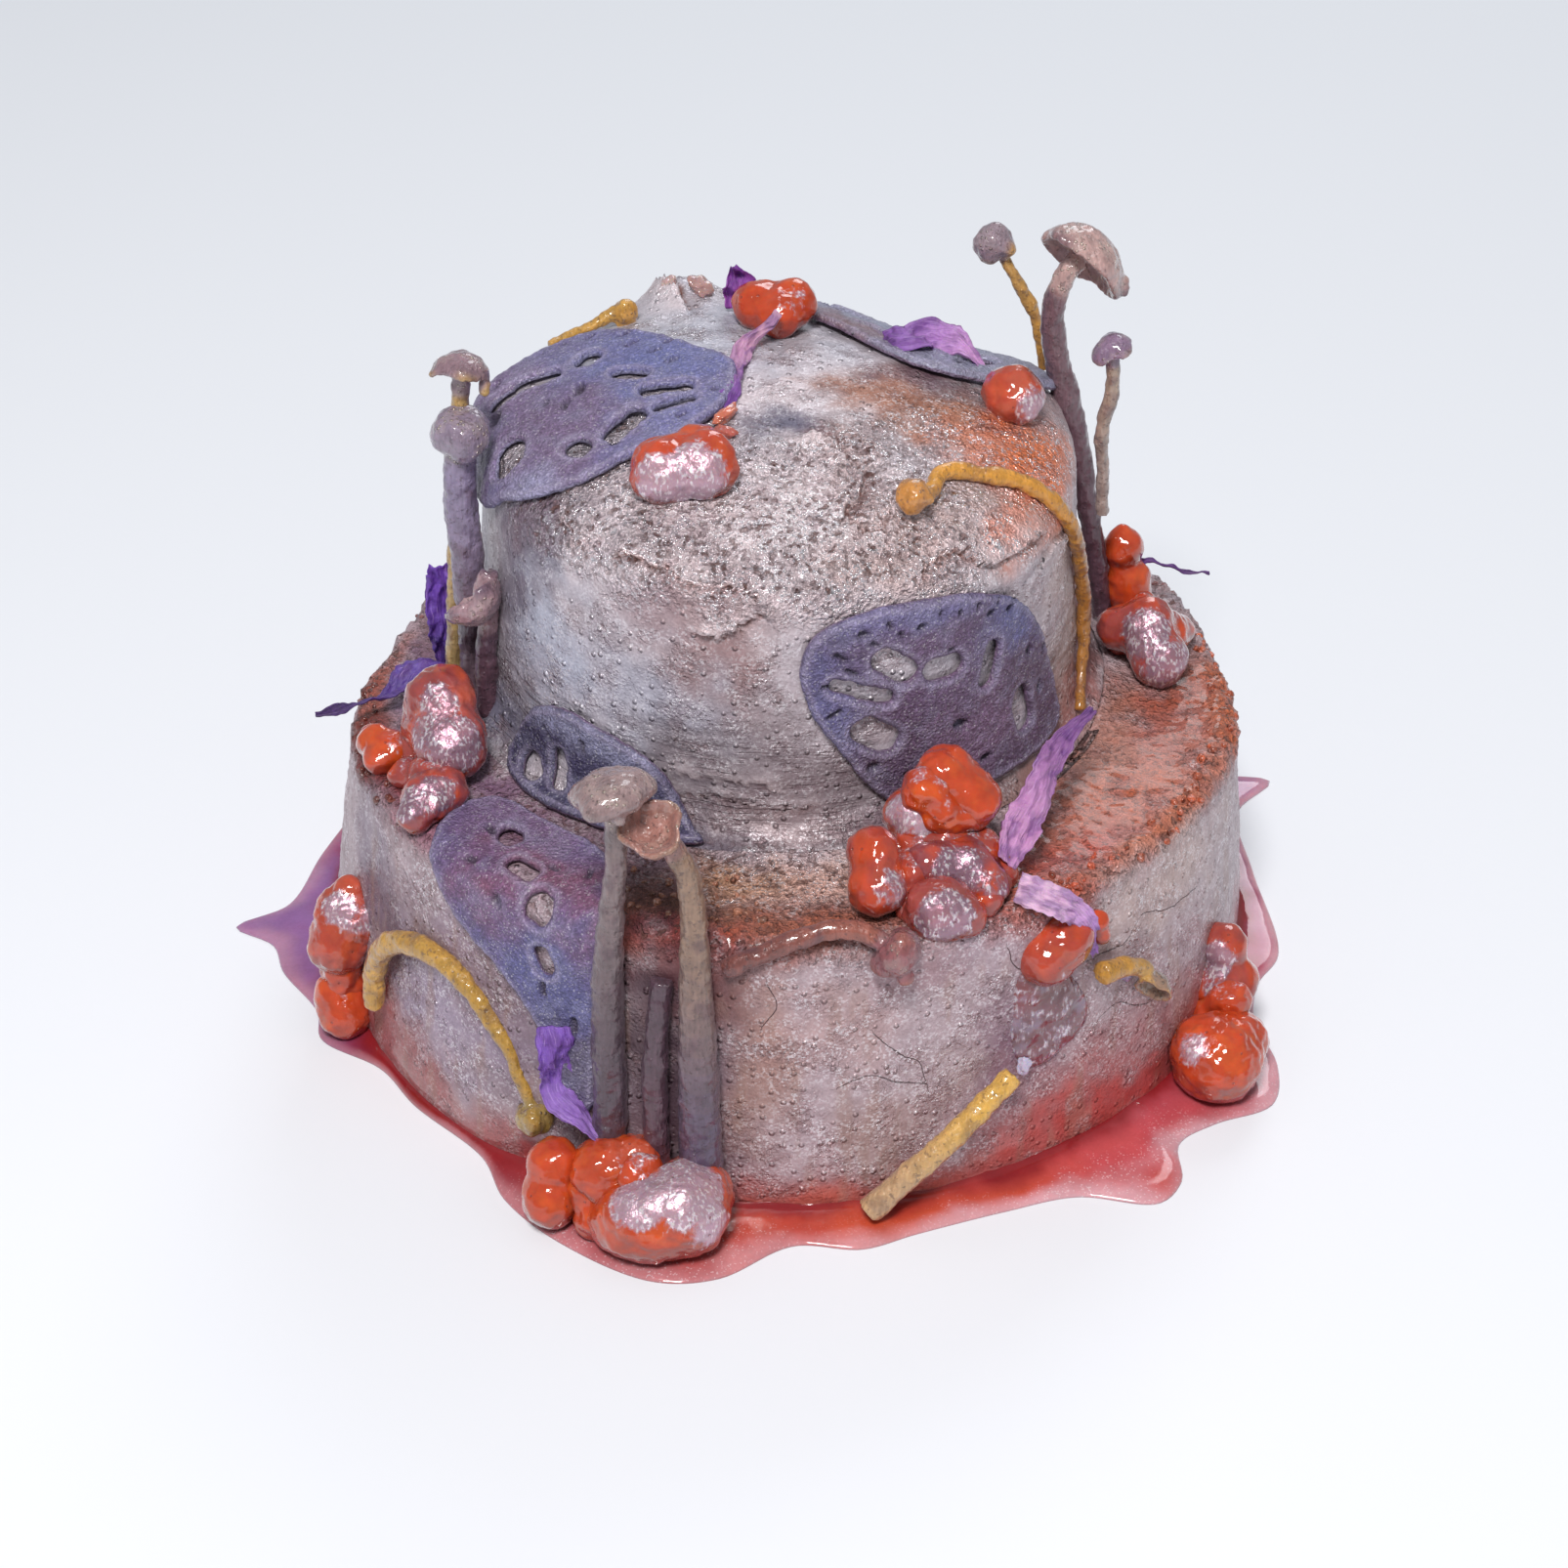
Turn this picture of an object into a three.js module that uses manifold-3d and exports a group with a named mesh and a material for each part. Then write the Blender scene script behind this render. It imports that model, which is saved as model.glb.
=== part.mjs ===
// A two-tier frosted sweet potato cake in millimetres: domed upper tier, wide lower tier, a ring of
// syrup round the foot, lotus root slices, lumps of red jelly, jellied mushrooms and dried petals.
// Origin: centre of the lower tier's foot. +Z is up and the decorated front looks towards -Y.
// Azimuths are in degrees from +X, anticlockwise; "run" is the distance along the outer surface,
// measured from the top of the dome down the upper wall, out over the ledge and down to the foot.
import * as THREE from 'three';
import { mergeVertices } from 'three/addons/utils/BufferGeometryUtils.js';
import Module from 'manifold-3d';

// Driving dimensions
const FOOT_RADIUS = 85;        // lower tier at the floor
const LEDGE_HEIGHT = 54.6;     // top of the lower tier
const DOME_HEIGHT = 113.5;     // top of the upper tier
const UPPER_RADIUS = 52;       // upper tier at half height
const UPPER_AXIS_X = -2;       // the upper tier stands a little to the left
const DOME_TILT = -0.035;      // rise of the dome per millimetre towards +X
const SEAT_HEIGHT = 55.2;      // flat seat under the upper tier
const SEAT_RADIUS = 58;
const GAP = 0.3;               // clearance between touching pieces
const SLICE_THICKNESS = 1.5;   // lotus root slice
const PETAL_THICKNESS = 0.6;   // dried petal
const SYRUP_DEPTH = 2.6;       // syrup at the wall

const DEG = Math.PI / 180;
const WELD = 1e-4;             // points closer than this become one
const CLEAR = 0.12;            // clearance under which a piece is cut, and which simplifying keeps
// How far simplifying may move a piece's surface, the plainest first
const TRIMS = [0.24, 0.15, 0.08, 0.03];
const CHORD = 0.3;             // room for the flat facets under a draped piece
const OVERLAP = 1e-3;          // volume above which two pieces count as overlapping

// Outer profile [radius, height] from the top of the dome to the floor
const PROFILE = [
  [0, DOME_HEIGHT], [12, DOME_HEIGHT - 0.5], [24, 111.8], [34, 109.9], [42, 107.4], [47, 104.6],
  [50, 101], [UPPER_RADIUS - 0.7, 96], [UPPER_RADIUS, 85], [UPPER_RADIUS + 0.8, 70], [53.6, 62],
  [55, 58.5], [58, 56], [66, LEDGE_HEIGHT + 0.4], [74, LEDGE_HEIGHT], [78.5, 54], [80.8, 52.2],
  [81.7, 48.5], [83, 35], [84.4, 18], [FOOT_RADIUS, 6], [FOOT_RADIUS, 0],
];
const SEAT_KNOT = 12;          // profile point where the upper tier ends and the ledge starts

// Swellings of the frosting: [azimuth, run, half width in degrees, half width in run, height]
const SWELLINGS = [
  [-125, 160, 18, 30, 1.6], [-60, 162, 15, 28, -1.3], [-90, 124, 34, 9, 1.3], [-60, 128, 8, 14, 0.9],
  [114, 43, 10, 5, 4.2], [52, 44, 26, 16, -4.2], [22, 51, 11, 10, 2.2], [172, 54, 12, 8, 1.5],
  [-104, 53, 15, 2.4, 1.1], [-68, 40, 7, 5, 1.3], [-40, 58, 12, 3, 0.9],
  [-12, 121, 9, 3, 1.1], [14, 121, 8, 3, 1.2], [-150, 121, 9, 3, 1.1],
];

// Where the ledge is narrower: [azimuth, half width in degrees, depth], fading out down the wall
const RIM_RUN = 122;
const RIM_INSETS = [[12, 16, 3], [90, 60, 6], [168, 20, 7.6]];

const radiansOf = (degrees) => degrees * DEG;
const smoothstep = THREE.MathUtils.smoothstep;

// Distance along the profile at each of its points
const RUNS = PROFILE.reduce((runs, [r, z], i) => {
  const step = i ? Math.hypot(r - PROFILE[i - 1][0], z - PROFILE[i - 1][1]) : 0;
  return [...runs, (runs[i - 1] ?? 0) + step];
}, []);
const FLOOR_RUN = RUNS[RUNS.length - 1];
const SEAT_RUN = RUNS[SEAT_KNOT];

// Smooth profile: cubic spans through the profile's points. Returns the point and its direction.
function profileAt(run) {
  const s = THREE.MathUtils.clamp(run, 0, FLOOR_RUN);
  const i = Math.min(RUNS.findLastIndex((knot) => knot <= s), RUNS.length - 2);
  const span = RUNS[i + 1] - RUNS[i];
  const t = (s - RUNS[i]) / span;
  const slope = (k, axis) => {
    const low = Math.max(k - 1, 0);
    const high = Math.min(k + 1, RUNS.length - 1);
    return (PROFILE[high][axis] - PROFILE[low][axis]) / (RUNS[high] - RUNS[low]);
  };
  const value = (axis) => {
    const [p0, p1, m0, m1] = [PROFILE[i][axis], PROFILE[i + 1][axis], slope(i, axis), slope(i + 1, axis)];
    return (2 * t ** 3 - 3 * t ** 2 + 1) * p0 + (t ** 3 - 2 * t ** 2 + t) * span * m0
      + (3 * t ** 2 - 2 * t ** 3) * p1 + (t ** 3 - t ** 2) * span * m1;
  };
  const mix = (axis) => THREE.MathUtils.lerp(slope(i, axis), slope(i + 1, axis), t);
  return { r: value(0), z: value(1), dr: mix(0), dz: mix(1) };
}

// A bell curve of one at an offset of zero; offsets in degrees may go round the cake
function bump(offset, halfWidth) {
  const near = THREE.MathUtils.euclideanModulo(offset + 180, 360) - 180;
  return Math.exp(-((near / halfWidth) ** 2));
}

// Uneven hand-spread frosting, as a displacement along the normal
function relief(azimuth, run) {
  const a = radiansOf(azimuth);
  const fade = smoothstep(run, 8, 40) * (1 - smoothstep(run, FLOOR_RUN - 8, FLOOR_RUN) * 0.6);
  let height = 0.45 * Math.sin(3 * a + 0.6) + 0.3 * Math.sin(5 * a + 0.06 * run + 2.1);
  height += 0.2 * Math.sin(9 * a - 0.11 * run);
  height *= fade;
  for (const [az, at, width, length, rise] of SWELLINGS) {
    height += rise * bump(azimuth - az, width) * bump(run - at, length);
  }
  return height * smoothstep(run, 0, 12);
}

function inset(azimuth, run) {
  const share = smoothstep(run, SEAT_RUN, RIM_RUN) * (1 - smoothstep(run, RIM_RUN, FLOOR_RUN));
  const depths = RIM_INSETS.map(([az, width, depth]) => depth * bump(azimuth - az, width));
  return share * depths.reduce((sum, depth) => sum + depth, 0);
}

// Point on the cake's outer surface, lifted along its normal
function skin(azimuth, run, lift = 0) {
  const { r, z, dr, dz } = profileAt(run);
  const length = Math.hypot(dr, dz);
  const out = lift + relief(azimuth, run);
  const radius = run > 0 ? r - (dz / length) * out - inset(azimuth, run) : 0;
  const axisX = UPPER_AXIS_X * (1 - smoothstep(run, SEAT_RUN, SEAT_RUN + 20));
  const a = radiansOf(azimuth);
  const tilt = DOME_TILT * radius * Math.cos(a) * smoothstep(z, 88, 102);
  const height = Math.max(z + (dr / length) * out + tilt, 0);
  return new THREE.Vector3(axisX + radius * Math.cos(a), radius * Math.sin(a), height);
}

// Point of the plane from an azimuth and a distance
const mapped = (azimuth, distance) => new THREE.Vector3(
  distance * Math.cos(radiansOf(azimuth)), distance * Math.sin(radiansOf(azimuth)), 0);
// The outer surface as a flat map: a plane point has the azimuth and, as its distance, the run
const onSkin = ({ x, y }, lift) => skin(Math.atan2(y, x) / DEG, Math.hypot(x, y), lift);

// --- Solids -----------------------------------------------------------------------------------

const wasm = await Module();
wasm.setup();

// Smooth curve through points
const smooth = (points, closed = false) => new THREE.CatmullRomCurve3(points, closed, 'centripetal');

// Moves every vertex of a geometry by a function of its position
function warp(geometry, place) {
  const positions = geometry.getAttribute('position');
  for (let i = 0; i < positions.count; i += 1) {
    const p = place(positions.getX(i), positions.getY(i), positions.getZ(i));
    positions.setXYZ(i, p.x, p.y, p.z);
  }
  return geometry;
}

// Welds a geometry, drops collapsed triangles and turns its faces outward
function solidOf(geometry) {
  geometry.deleteAttribute('normal');
  geometry.deleteAttribute('uv');
  const welded = mergeVertices(geometry, WELD);
  const points = welded.getAttribute('position').array;
  const corner = (k) => new THREE.Vector3().fromArray(points, 3 * k);
  const triangles = [];
  let volume = 0;
  for (let i = 0; i < welded.index.count; i += 3) {
    const [a, b, c] = [0, 1, 2].map((k) => welded.index.getX(i + k));
    if (a !== b && b !== c && c !== a) {
      triangles.push([a, b, c]);
      volume += corner(a).dot(corner(b).cross(corner(c)));
    }
  }
  const wound = volume > 0 ? triangles : triangles.map(([a, b, c]) => [a, c, b]);
  return new wasm.Manifold(new wasm.Mesh({
    numProp: 3,
    vertProperties: new Float32Array(points),
    triVerts: new Uint32Array(wound.flat()),
  }));
}

const largestOf = (solid) => solid.decompose().reduce((a, b) => (a.volume() > b.volume() ? a : b));

function geometryOf(solid) {
  const { vertProperties, triVerts } = solid.getMesh();
  const geometry = new THREE.BufferGeometry();
  geometry.setAttribute('position', new THREE.BufferAttribute(new Float32Array(vertProperties), 3));
  geometry.setIndex(new THREE.BufferAttribute(new Uint32Array(triVerts), 1));
  geometry.computeVertexNormals();
  return geometry;
}

// --- Sub-parts, each as a function of how much it is grown for clearance ------------------------

const EDGE_STEPS = 20;         // steps round the outline of a slice
const PUNCH_DEPTH = 1.5;       // how far the punch of a slice goes under the surface
const MARGIN = 2;              // border of the patch outside a slice
const CUTTER_DEPTH = 16;       // length of what cuts a hole through a slice

const RING_SEGMENTS = 36;      // steps round a tier
// Rings of the tiers, closer together where the profile turns
const UPPER_RUNS = [0, 13, 25, 35, 42, 46.5, 50, 54, 60, 72, 84, 92, 96.5, SEAT_RUN];
const LOWER_RUNS = [SEAT_RUN + GAP, 109, 116, 120, 123, 126.5, 132, 142, 154, 166, FLOOR_RUN];

// A tier: rings of the outer surface, closed by flat discs [radius, height] under and over them
function tier(runs, { under, over }) {
  return (grow) => {
    const rings = [
      ...under.map(([r, z]) => ({ r, z: z - grow })),
      ...runs.toReversed().map((run) => ({ run })),
      ...over.map(([r, z]) => ({ r, z: z + grow })),
    ];
    const lathe = new THREE.LatheGeometry(rings.map((_, k) => new THREE.Vector2(1, k)), RING_SEGMENTS);
    return solidOf(warp(lathe, (x, level, z) => {
      const ring = rings[Math.round(level)];
      const azimuth = Math.atan2(z, x) / DEG;
      if (ring.run !== undefined) {
        return skin(azimuth, ring.run, grow);
      }
      return new THREE.Vector3(UPPER_AXIS_X + ring.r * x, ring.r * z, ring.z);
    }));
  };
}

const upperTier = tier(UPPER_RUNS, {
  under: [[0, SEAT_HEIGHT + GAP], [SEAT_RADIUS - 1, SEAT_HEIGHT + GAP]],
  over: [],
});
const lowerTier = tier(LOWER_RUNS, {
  under: [[0, 0]],
  over: [[SEAT_RADIUS, SEAT_HEIGHT], [0, SEAT_HEIGHT]],
});

// Syrup ring: outline [azimuth, radius] of its edge on the floor
const SYRUP_EDGE = [
  [-8, 93], [-14, 90], [-21, 91.5], [-27, 99], [-33, 102.5], [-39, 97], [-44, 95.5], [-48, 102],
  [-52, 103.5], [-58, 94.5], [-66, 92], [-76, 92.5], [-82, 94.5], [-89, 93], [-96, 101.5], [-102, 104],
  [-112, 100], [-120, 95], [-126, 88.7], [-138, 87.5], [-146, 87], [-154, 93], [-159, 91.5], [-167, 95.5],
  [-172, 97], [-175.5, 104], [-179, 95], [170, 91.5], [156, 90], [135, 92], [112, 89], [88, 91],
  [62, 89.5], [40, 92], [28, 97], [24, 106], [20, 95], [8, 91],
];

const STEPS_PER_EDGE_POINT = 1.4;

function syrup(grow) {
  const edge = smooth(SYRUP_EDGE.map(([azimuth, r]) => mapped(azimuth, r)), true);
  // Section: share of the way from the wall to the edge, height
  const section = [[0, 0], [0, SYRUP_DEPTH], [0.6, 0.6 * SYRUP_DEPTH], [1, 0]];
  const loop = [...section, section[0]];
  const steps = Math.round(STEPS_PER_EDGE_POINT * SYRUP_EDGE.length);
  const lathe = new THREE.LatheGeometry(loop.map((_, k) => new THREE.Vector2(1, k)), steps);
  return solidOf(warp(lathe, (x, level, z) => {
    const turn = THREE.MathUtils.euclideanModulo(Math.atan2(z, x) / (2 * Math.PI), 1);
    const outer = edge.getPoint(turn);
    const inner = skin(Math.atan2(outer.y, outer.x) / DEG, FLOOR_RUN, GAP + CHORD + grow);
    const [share, height] = loop[Math.round(level)];
    return inner.lerp(outer, share).setZ(height);
  }));
}

// A patch of the surface between two lifts, on the tiers' own rings
function patch([fromAzimuth, toAzimuth], [fromRun, toRun], [low, high]) {
  const step = 360 / RING_SEGMENTS;
  const first = Math.floor(fromAzimuth / step);
  const columns = Math.ceil(toAzimuth / step) - first;
  const runs = [...UPPER_RUNS, ...LOWER_RUNS.slice(1)];
  const top = runs.findLastIndex((run) => run <= fromRun);
  const rows = runs.findIndex((run) => run >= toRun) - top;
  return solidOf(warp(new THREE.BoxGeometry(columns, 1, rows, columns, 1, rows), (x, y, z) => {
    const azimuth = step * (first + Math.round(x + columns / 2));
    return skin(azimuth, runs[top + Math.round(z + rows / 2)], y > 0 ? high : low);
  }));
}

// Lotus root slice draped over the surface: a patch of it, punched out along the outline.
// outline: [azimuth, run]; holes: [azimuth, run, length, width, turn of the long side in degrees]
function lotusSlice({ outline, holes, lift = 0, punchLift = 5 }) {
  return (grow) => {
    const edge = smooth(outline.map(([azimuth, run]) => mapped(azimuth, run)), true);
    const rim = edge.getPoints(EDGE_STEPS).slice(1);
    const centre = rim.reduce((sum, p) => sum.add(p), new THREE.Vector3()).divideScalar(EDGE_STEPS);
    const shares = [0, 0.2, 0.4, 0.55, 0.7, 0.8, 0.9, 1];
    const lathe = new THREE.LatheGeometry([
      ...shares.map((share) => new THREE.Vector2(share, 0)),
      ...shares.toReversed().map((share) => new THREE.Vector2(share, 1)),
    ], EDGE_STEPS);
    const punch = solidOf(warp(lathe, (x, level, z) => {
      const turn = THREE.MathUtils.euclideanModulo(Math.atan2(z, x) / (2 * Math.PI), 1);
      const reach = edge.getPoint(turn).sub(centre);
      reach.setLength((reach.length() + grow) * Math.hypot(x, z));
      return onSkin(centre.clone().add(reach), level > 0.5 ? lift + punchLift : -PUNCH_DEPTH);
    }));
    const azimuths = outline.map(([azimuth]) => azimuth);
    const runs = outline.map(([, run]) => run);
    const faces = [GAP + CHORD + lift - grow, GAP + CHORD + lift + SLICE_THICKNESS + grow];
    const solid = patch(
      [Math.min(...azimuths) - MARGIN, Math.max(...azimuths) + MARGIN],
      [Math.min(...runs) - MARGIN, Math.max(...runs) + MARGIN], faces).intersect(punch);
    return grow > 0 ? solid : holes.reduce((rest, hole) => rest.subtract(holeCutter(hole)), solid);
  };
}

// A long round-ended hole through a slice, square to the surface
function holeCutter([azimuth, run, length, width, turn]) {
  const centre = skin(azimuth, run);
  const normal = skin(azimuth, run, 1).sub(centre).normalize();
  const round = new THREE.Vector3(-Math.sin(radiansOf(azimuth)), Math.cos(radiansOf(azimuth)), 0);
  const down = new THREE.Vector3().crossVectors(normal, round).negate().normalize();
  const [cos, sin] = [Math.cos(radiansOf(turn)), Math.sin(radiansOf(turn))];
  const along = round.clone().multiplyScalar(cos).addScaledVector(down, sin);
  const across = new THREE.Vector3().crossVectors(normal, along);
  const sides = length > 8 ? 8 : 6;
  const cutter = new THREE.CylinderGeometry(0.5, 0.5, CUTTER_DEPTH, sides);
  return solidOf(warp(cutter, (x, y, z) => centre.clone()
    .addScaledVector(along, x * length)
    .addScaledVector(across, z * width)
    .addScaledVector(normal, y)));
}

const LARGE_LOBE = 5;          // radius from which a lump gets more facets
const SHARPNESS = 1.6;         // how little neighbouring lobes melt together

// Jelly lump: the outline of a few round lobes [x, y, z, radius] as seen from its centre
function jellyLump({ at, lobes }) {
  return (grow) => {
    const large = Math.max(...lobes.map((lobe) => lobe[3])) > LARGE_LOBE;
    const ball = large ? new THREE.SphereGeometry(1, 10, 7) : new THREE.SphereGeometry(1, 9, 6);
    return solidOf(warp(ball, (x, y, z) => {
      const direction = new THREE.Vector3(x, -z, y).normalize();
      const reach = lobeReach(direction, lobes) + grow;
      const point = new THREE.Vector3(...at).addScaledVector(direction, reach);
      point.z = Math.max(point.z, 0);
      return point;
    }));
  };
}

// Soft maximum of the distances at which a ray from the centre leaves the lobes
function lobeReach(direction, lobes) {
  const reaches = lobes.map(([x, y, z, radius]) => {
    const along = direction.x * x + direction.y * y + direction.z * z;
    const aside = x * x + y * y + z * z - along * along;
    return along + Math.sqrt(Math.max(radius * radius - aside, 0.1));
  });
  return Math.log(reaches.reduce((sum, reach) => sum + Math.exp(SHARPNESS * reach), 0)) / SHARPNESS;
}

const STEM_SIDES = 6;
const CAP_SIDES = 8;

// Stem: a tube along hand-set points, its radius going from foot to top
function stem(points, radii, grow) {
  const curve = smooth(points.map((p) => new THREE.Vector3(...p)));
  const steps = Math.max(4, points.length - 1);
  const frames = curve.computeFrenetFrames(steps);
  const tube = new THREE.CylinderGeometry(1, 1, 1, STEM_SIDES, steps);
  return solidOf(warp(tube, (x, y, z) => {
    const share = THREE.MathUtils.clamp(y + 0.5, 0, 1);
    const step = Math.round(share * steps);
    const place = share * (radii.length - 1);
    const k = Math.min(Math.floor(place), radii.length - 2);
    const radius = THREE.MathUtils.lerp(radii[k], radii[k + 1], place - k) + grow;
    const end = (step === 0 ? -grow : 0) + (step === steps ? grow : 0);
    return curve.getPointAt(share)
      .addScaledVector(frames.normals[step], x * radius)
      .addScaledVector(frames.binormals[step], z * radius)
      .addScaledVector(frames.tangents[step], end);
  }));
}

// Cap sections [radius, height] in shares of the cap's radius and height, and the height in the cap
// at which the stem ends
const CAPS = {
  button: {
    section: [[0, 0.15], [0.6, 0], [0.96, 0.22], [0.98, 0.5], [0.66, 0.88], [0, 1]],
    root: 0.4,
  },
  bell: {
    section: [[0, 0.42], [0.6, 0.3], [0.93, 0], [1, 0.12], [0.8, 0.62], [0.42, 0.93], [0, 1]],
    root: 0.65,
  },
  cup: {
    section: [[0, 0], [0.45, 0.12], [0.8, 0.5], [1, 0.95], [0.9, 1], [0.5, 0.55], [0, 0.42]],
    root: 0.2,
  },
};

function mushroomCap({ kind, at, axis, radius, height }, grow) {
  const section = CAPS[kind].section.map(([r, h]) => new THREE.Vector2(r, h));
  const turn = new THREE.Quaternion().setFromUnitVectors(
    new THREE.Vector3(0, 1, 0), new THREE.Vector3(...axis).normalize());
  return solidOf(warp(new THREE.LatheGeometry(section, CAP_SIDES), (x, y, z) => new THREE.Vector3(
    x * (radius + grow), (y - 0.5) * (height + 2 * grow), z * (radius + grow))
    .applyQuaternion(turn).add(new THREE.Vector3(...at))));
}

function mushroom({ points, radii, cap }) {
  if (!cap) {
    return (grow) => stem(points, radii, grow);
  }
  const { kind, at, axis, height } = cap;
  const middle = new THREE.Vector3(...at);
  const top = middle.add(new THREE.Vector3(...axis).setLength((CAPS[kind].root - 0.5) * height));
  return (grow) => stem([...points, top.toArray()], radii, grow).add(mushroomCap(cap, grow));
}

const PETAL_STEPS = 7;

// Petal: a thin ribbon with wavy faces along hand-set points, as wide as widths say.
// Both faces carry the same points, so they split into triangles alike.
function petal({ points, widths, side, wave = 0.7 }) {
  return (grow) => {
    const curve = smooth(points.map((p) => new THREE.Vector3(...p)));
    const box = new THREE.BoxGeometry(1, 1, 1, 2, 1, PETAL_STEPS);
    return solidOf(warp(box, (x, y, z) => {
      const share = z + 0.5;
      const place = share * (widths.length - 1);
      const k = Math.min(Math.floor(place), widths.length - 2);
      const width = THREE.MathUtils.lerp(widths[k], widths[k + 1], place - k) + 2 * grow;
      const tangent = curve.getTangentAt(share);
      const sideways = new THREE.Vector3(...side);
      const across = sideways.addScaledVector(tangent, -tangent.dot(sideways)).normalize();
      const normal = new THREE.Vector3().crossVectors(tangent, across).normalize();
      const ripple = wave * Math.sin(share * 11 + 2.4 * x);
      return curve.getPointAt(share)
        .addScaledVector(across, x * width)
        .addScaledVector(normal, ripple + y * (PETAL_THICKNESS + 2 * grow));
    }));
  };
}

// --- The pieces as they lie on the cake ---------------------------------------------------------

const COLOURS = {
  frosting: { color: 0xa79ca6, roughness: 0.42, metalness: 0.25 },
  syrup: { color: 0x8e2a3c, roughness: 0.12, metalness: 0 },
  lotus: { color: 0x6c6494, roughness: 0.5, metalness: 0.15 },
  jelly: { color: 0xd9461c, roughness: 0.22, metalness: 0 },
  lilac: { color: 0x84707f, roughness: 0.25, metalness: 0 },
  golden: { color: 0xb8863c, roughness: 0.35, metalness: 0 },
  petal: { color: 0x7d55a8, roughness: 0.6, metalness: 0 },
};

const LOTUS_SLICES = {
  lotus_top: {
    outline: [
      [198, 58.5], [206, 54], [214, 50], [220, 43.5], [224, 34.5], [231, 27], [231, 20], [229, 14],
      [202, 8], [157, 9], [147, 17], [146, 28.5], [149, 38], [156, 43], [165, 48], [174, 55], [187, 60],
    ],
    holes: [
      [175.5, 42, 8.5, 4, 70], [179, 47.5, 6, 3.5, 60], [167, 34, 5.5, 3.4, 20],
      [180.5, 25.5, 6.5, 3.4, 110],
      [197, 20, 9, 3, 95], [211, 20.5, 8, 2.2, 95], [211, 30, 9.5, 4, 70], [199.5, 49, 7.5, 6.5, 30],
      [210.5, 39, 4.8, 4.4, 0],
    ],
  },
  lotus_wall: {
    outline: [
      [-86, 66], [-83.5, 59.5], [-75.5, 56], [-62.5, 55.5], [-48, 58.5], [-37.5, 66.5], [-30, 79],
      [-27, 93],
      [-41, 95.5], [-60, 95], [-71, 91.5], [-79, 81], [-84, 73.5],
    ],
    holes: [
      [-69, 66.5, 9, 4.5, 40], [-59.5, 69, 7.5, 4.4, 5], [-49, 72, 8.5, 3.4, 105],
      [-39.5, 85, 9.5, 4.4, 75],
      [-75, 70.5, 11.5, 2.6, 22], [-72.5, 79, 9, 5, 35],
    ],
  },
  lotus_foot: {
    outline: [
      [-145, 96], [-141, 87], [-132, 82], [-121.5, 83], [-110, 88], [-105, 95.5], [-102, 99.5],
      [-112, 101.5], [-123, 102], [-133, 102], [-142, 100],
    ],
    holes: [[-131, 94, 8.5, 3, 80], [-137.5, 96.5, 6, 4.4, 60]],
    punchLift: 3.6,
  },
  lotus_ledge: {
    outline: [
      [-137.5, 122], [-140.5, 114], [-138, 107], [-127, 105.5], [-115, 109], [-110.5, 122], [-111, 141.5],
      [-112, 158], [-115, 157], [-118.5, 144], [-123, 137], [-131, 130],
    ],
    holes: [
      [-130, 113, 5.5, 4.4, 0], [-124.5, 118.5, 7, 3, 10], [-119.5, 123, 5.5, 4, 20],
      [-118, 130.5, 5.5, 3, 60],
    ],
  },
  lotus_back: {
    outline: [
      [84, 34], [76, 42], [58, 44], [42, 46], [31, 49], [22, 51.5], [15, 48], [12, 36], [18, 25],
      [36, 21.5],
      [62, 23], [80, 28],
    ],
    holes: [[72, 38, 9, 4, 10], [40, 38, 6.5, 4, 60], [56, 31, 6, 3.4, 20], [24, 38, 5, 4, 80]],
    lift: 0.2,
  },
};

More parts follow.
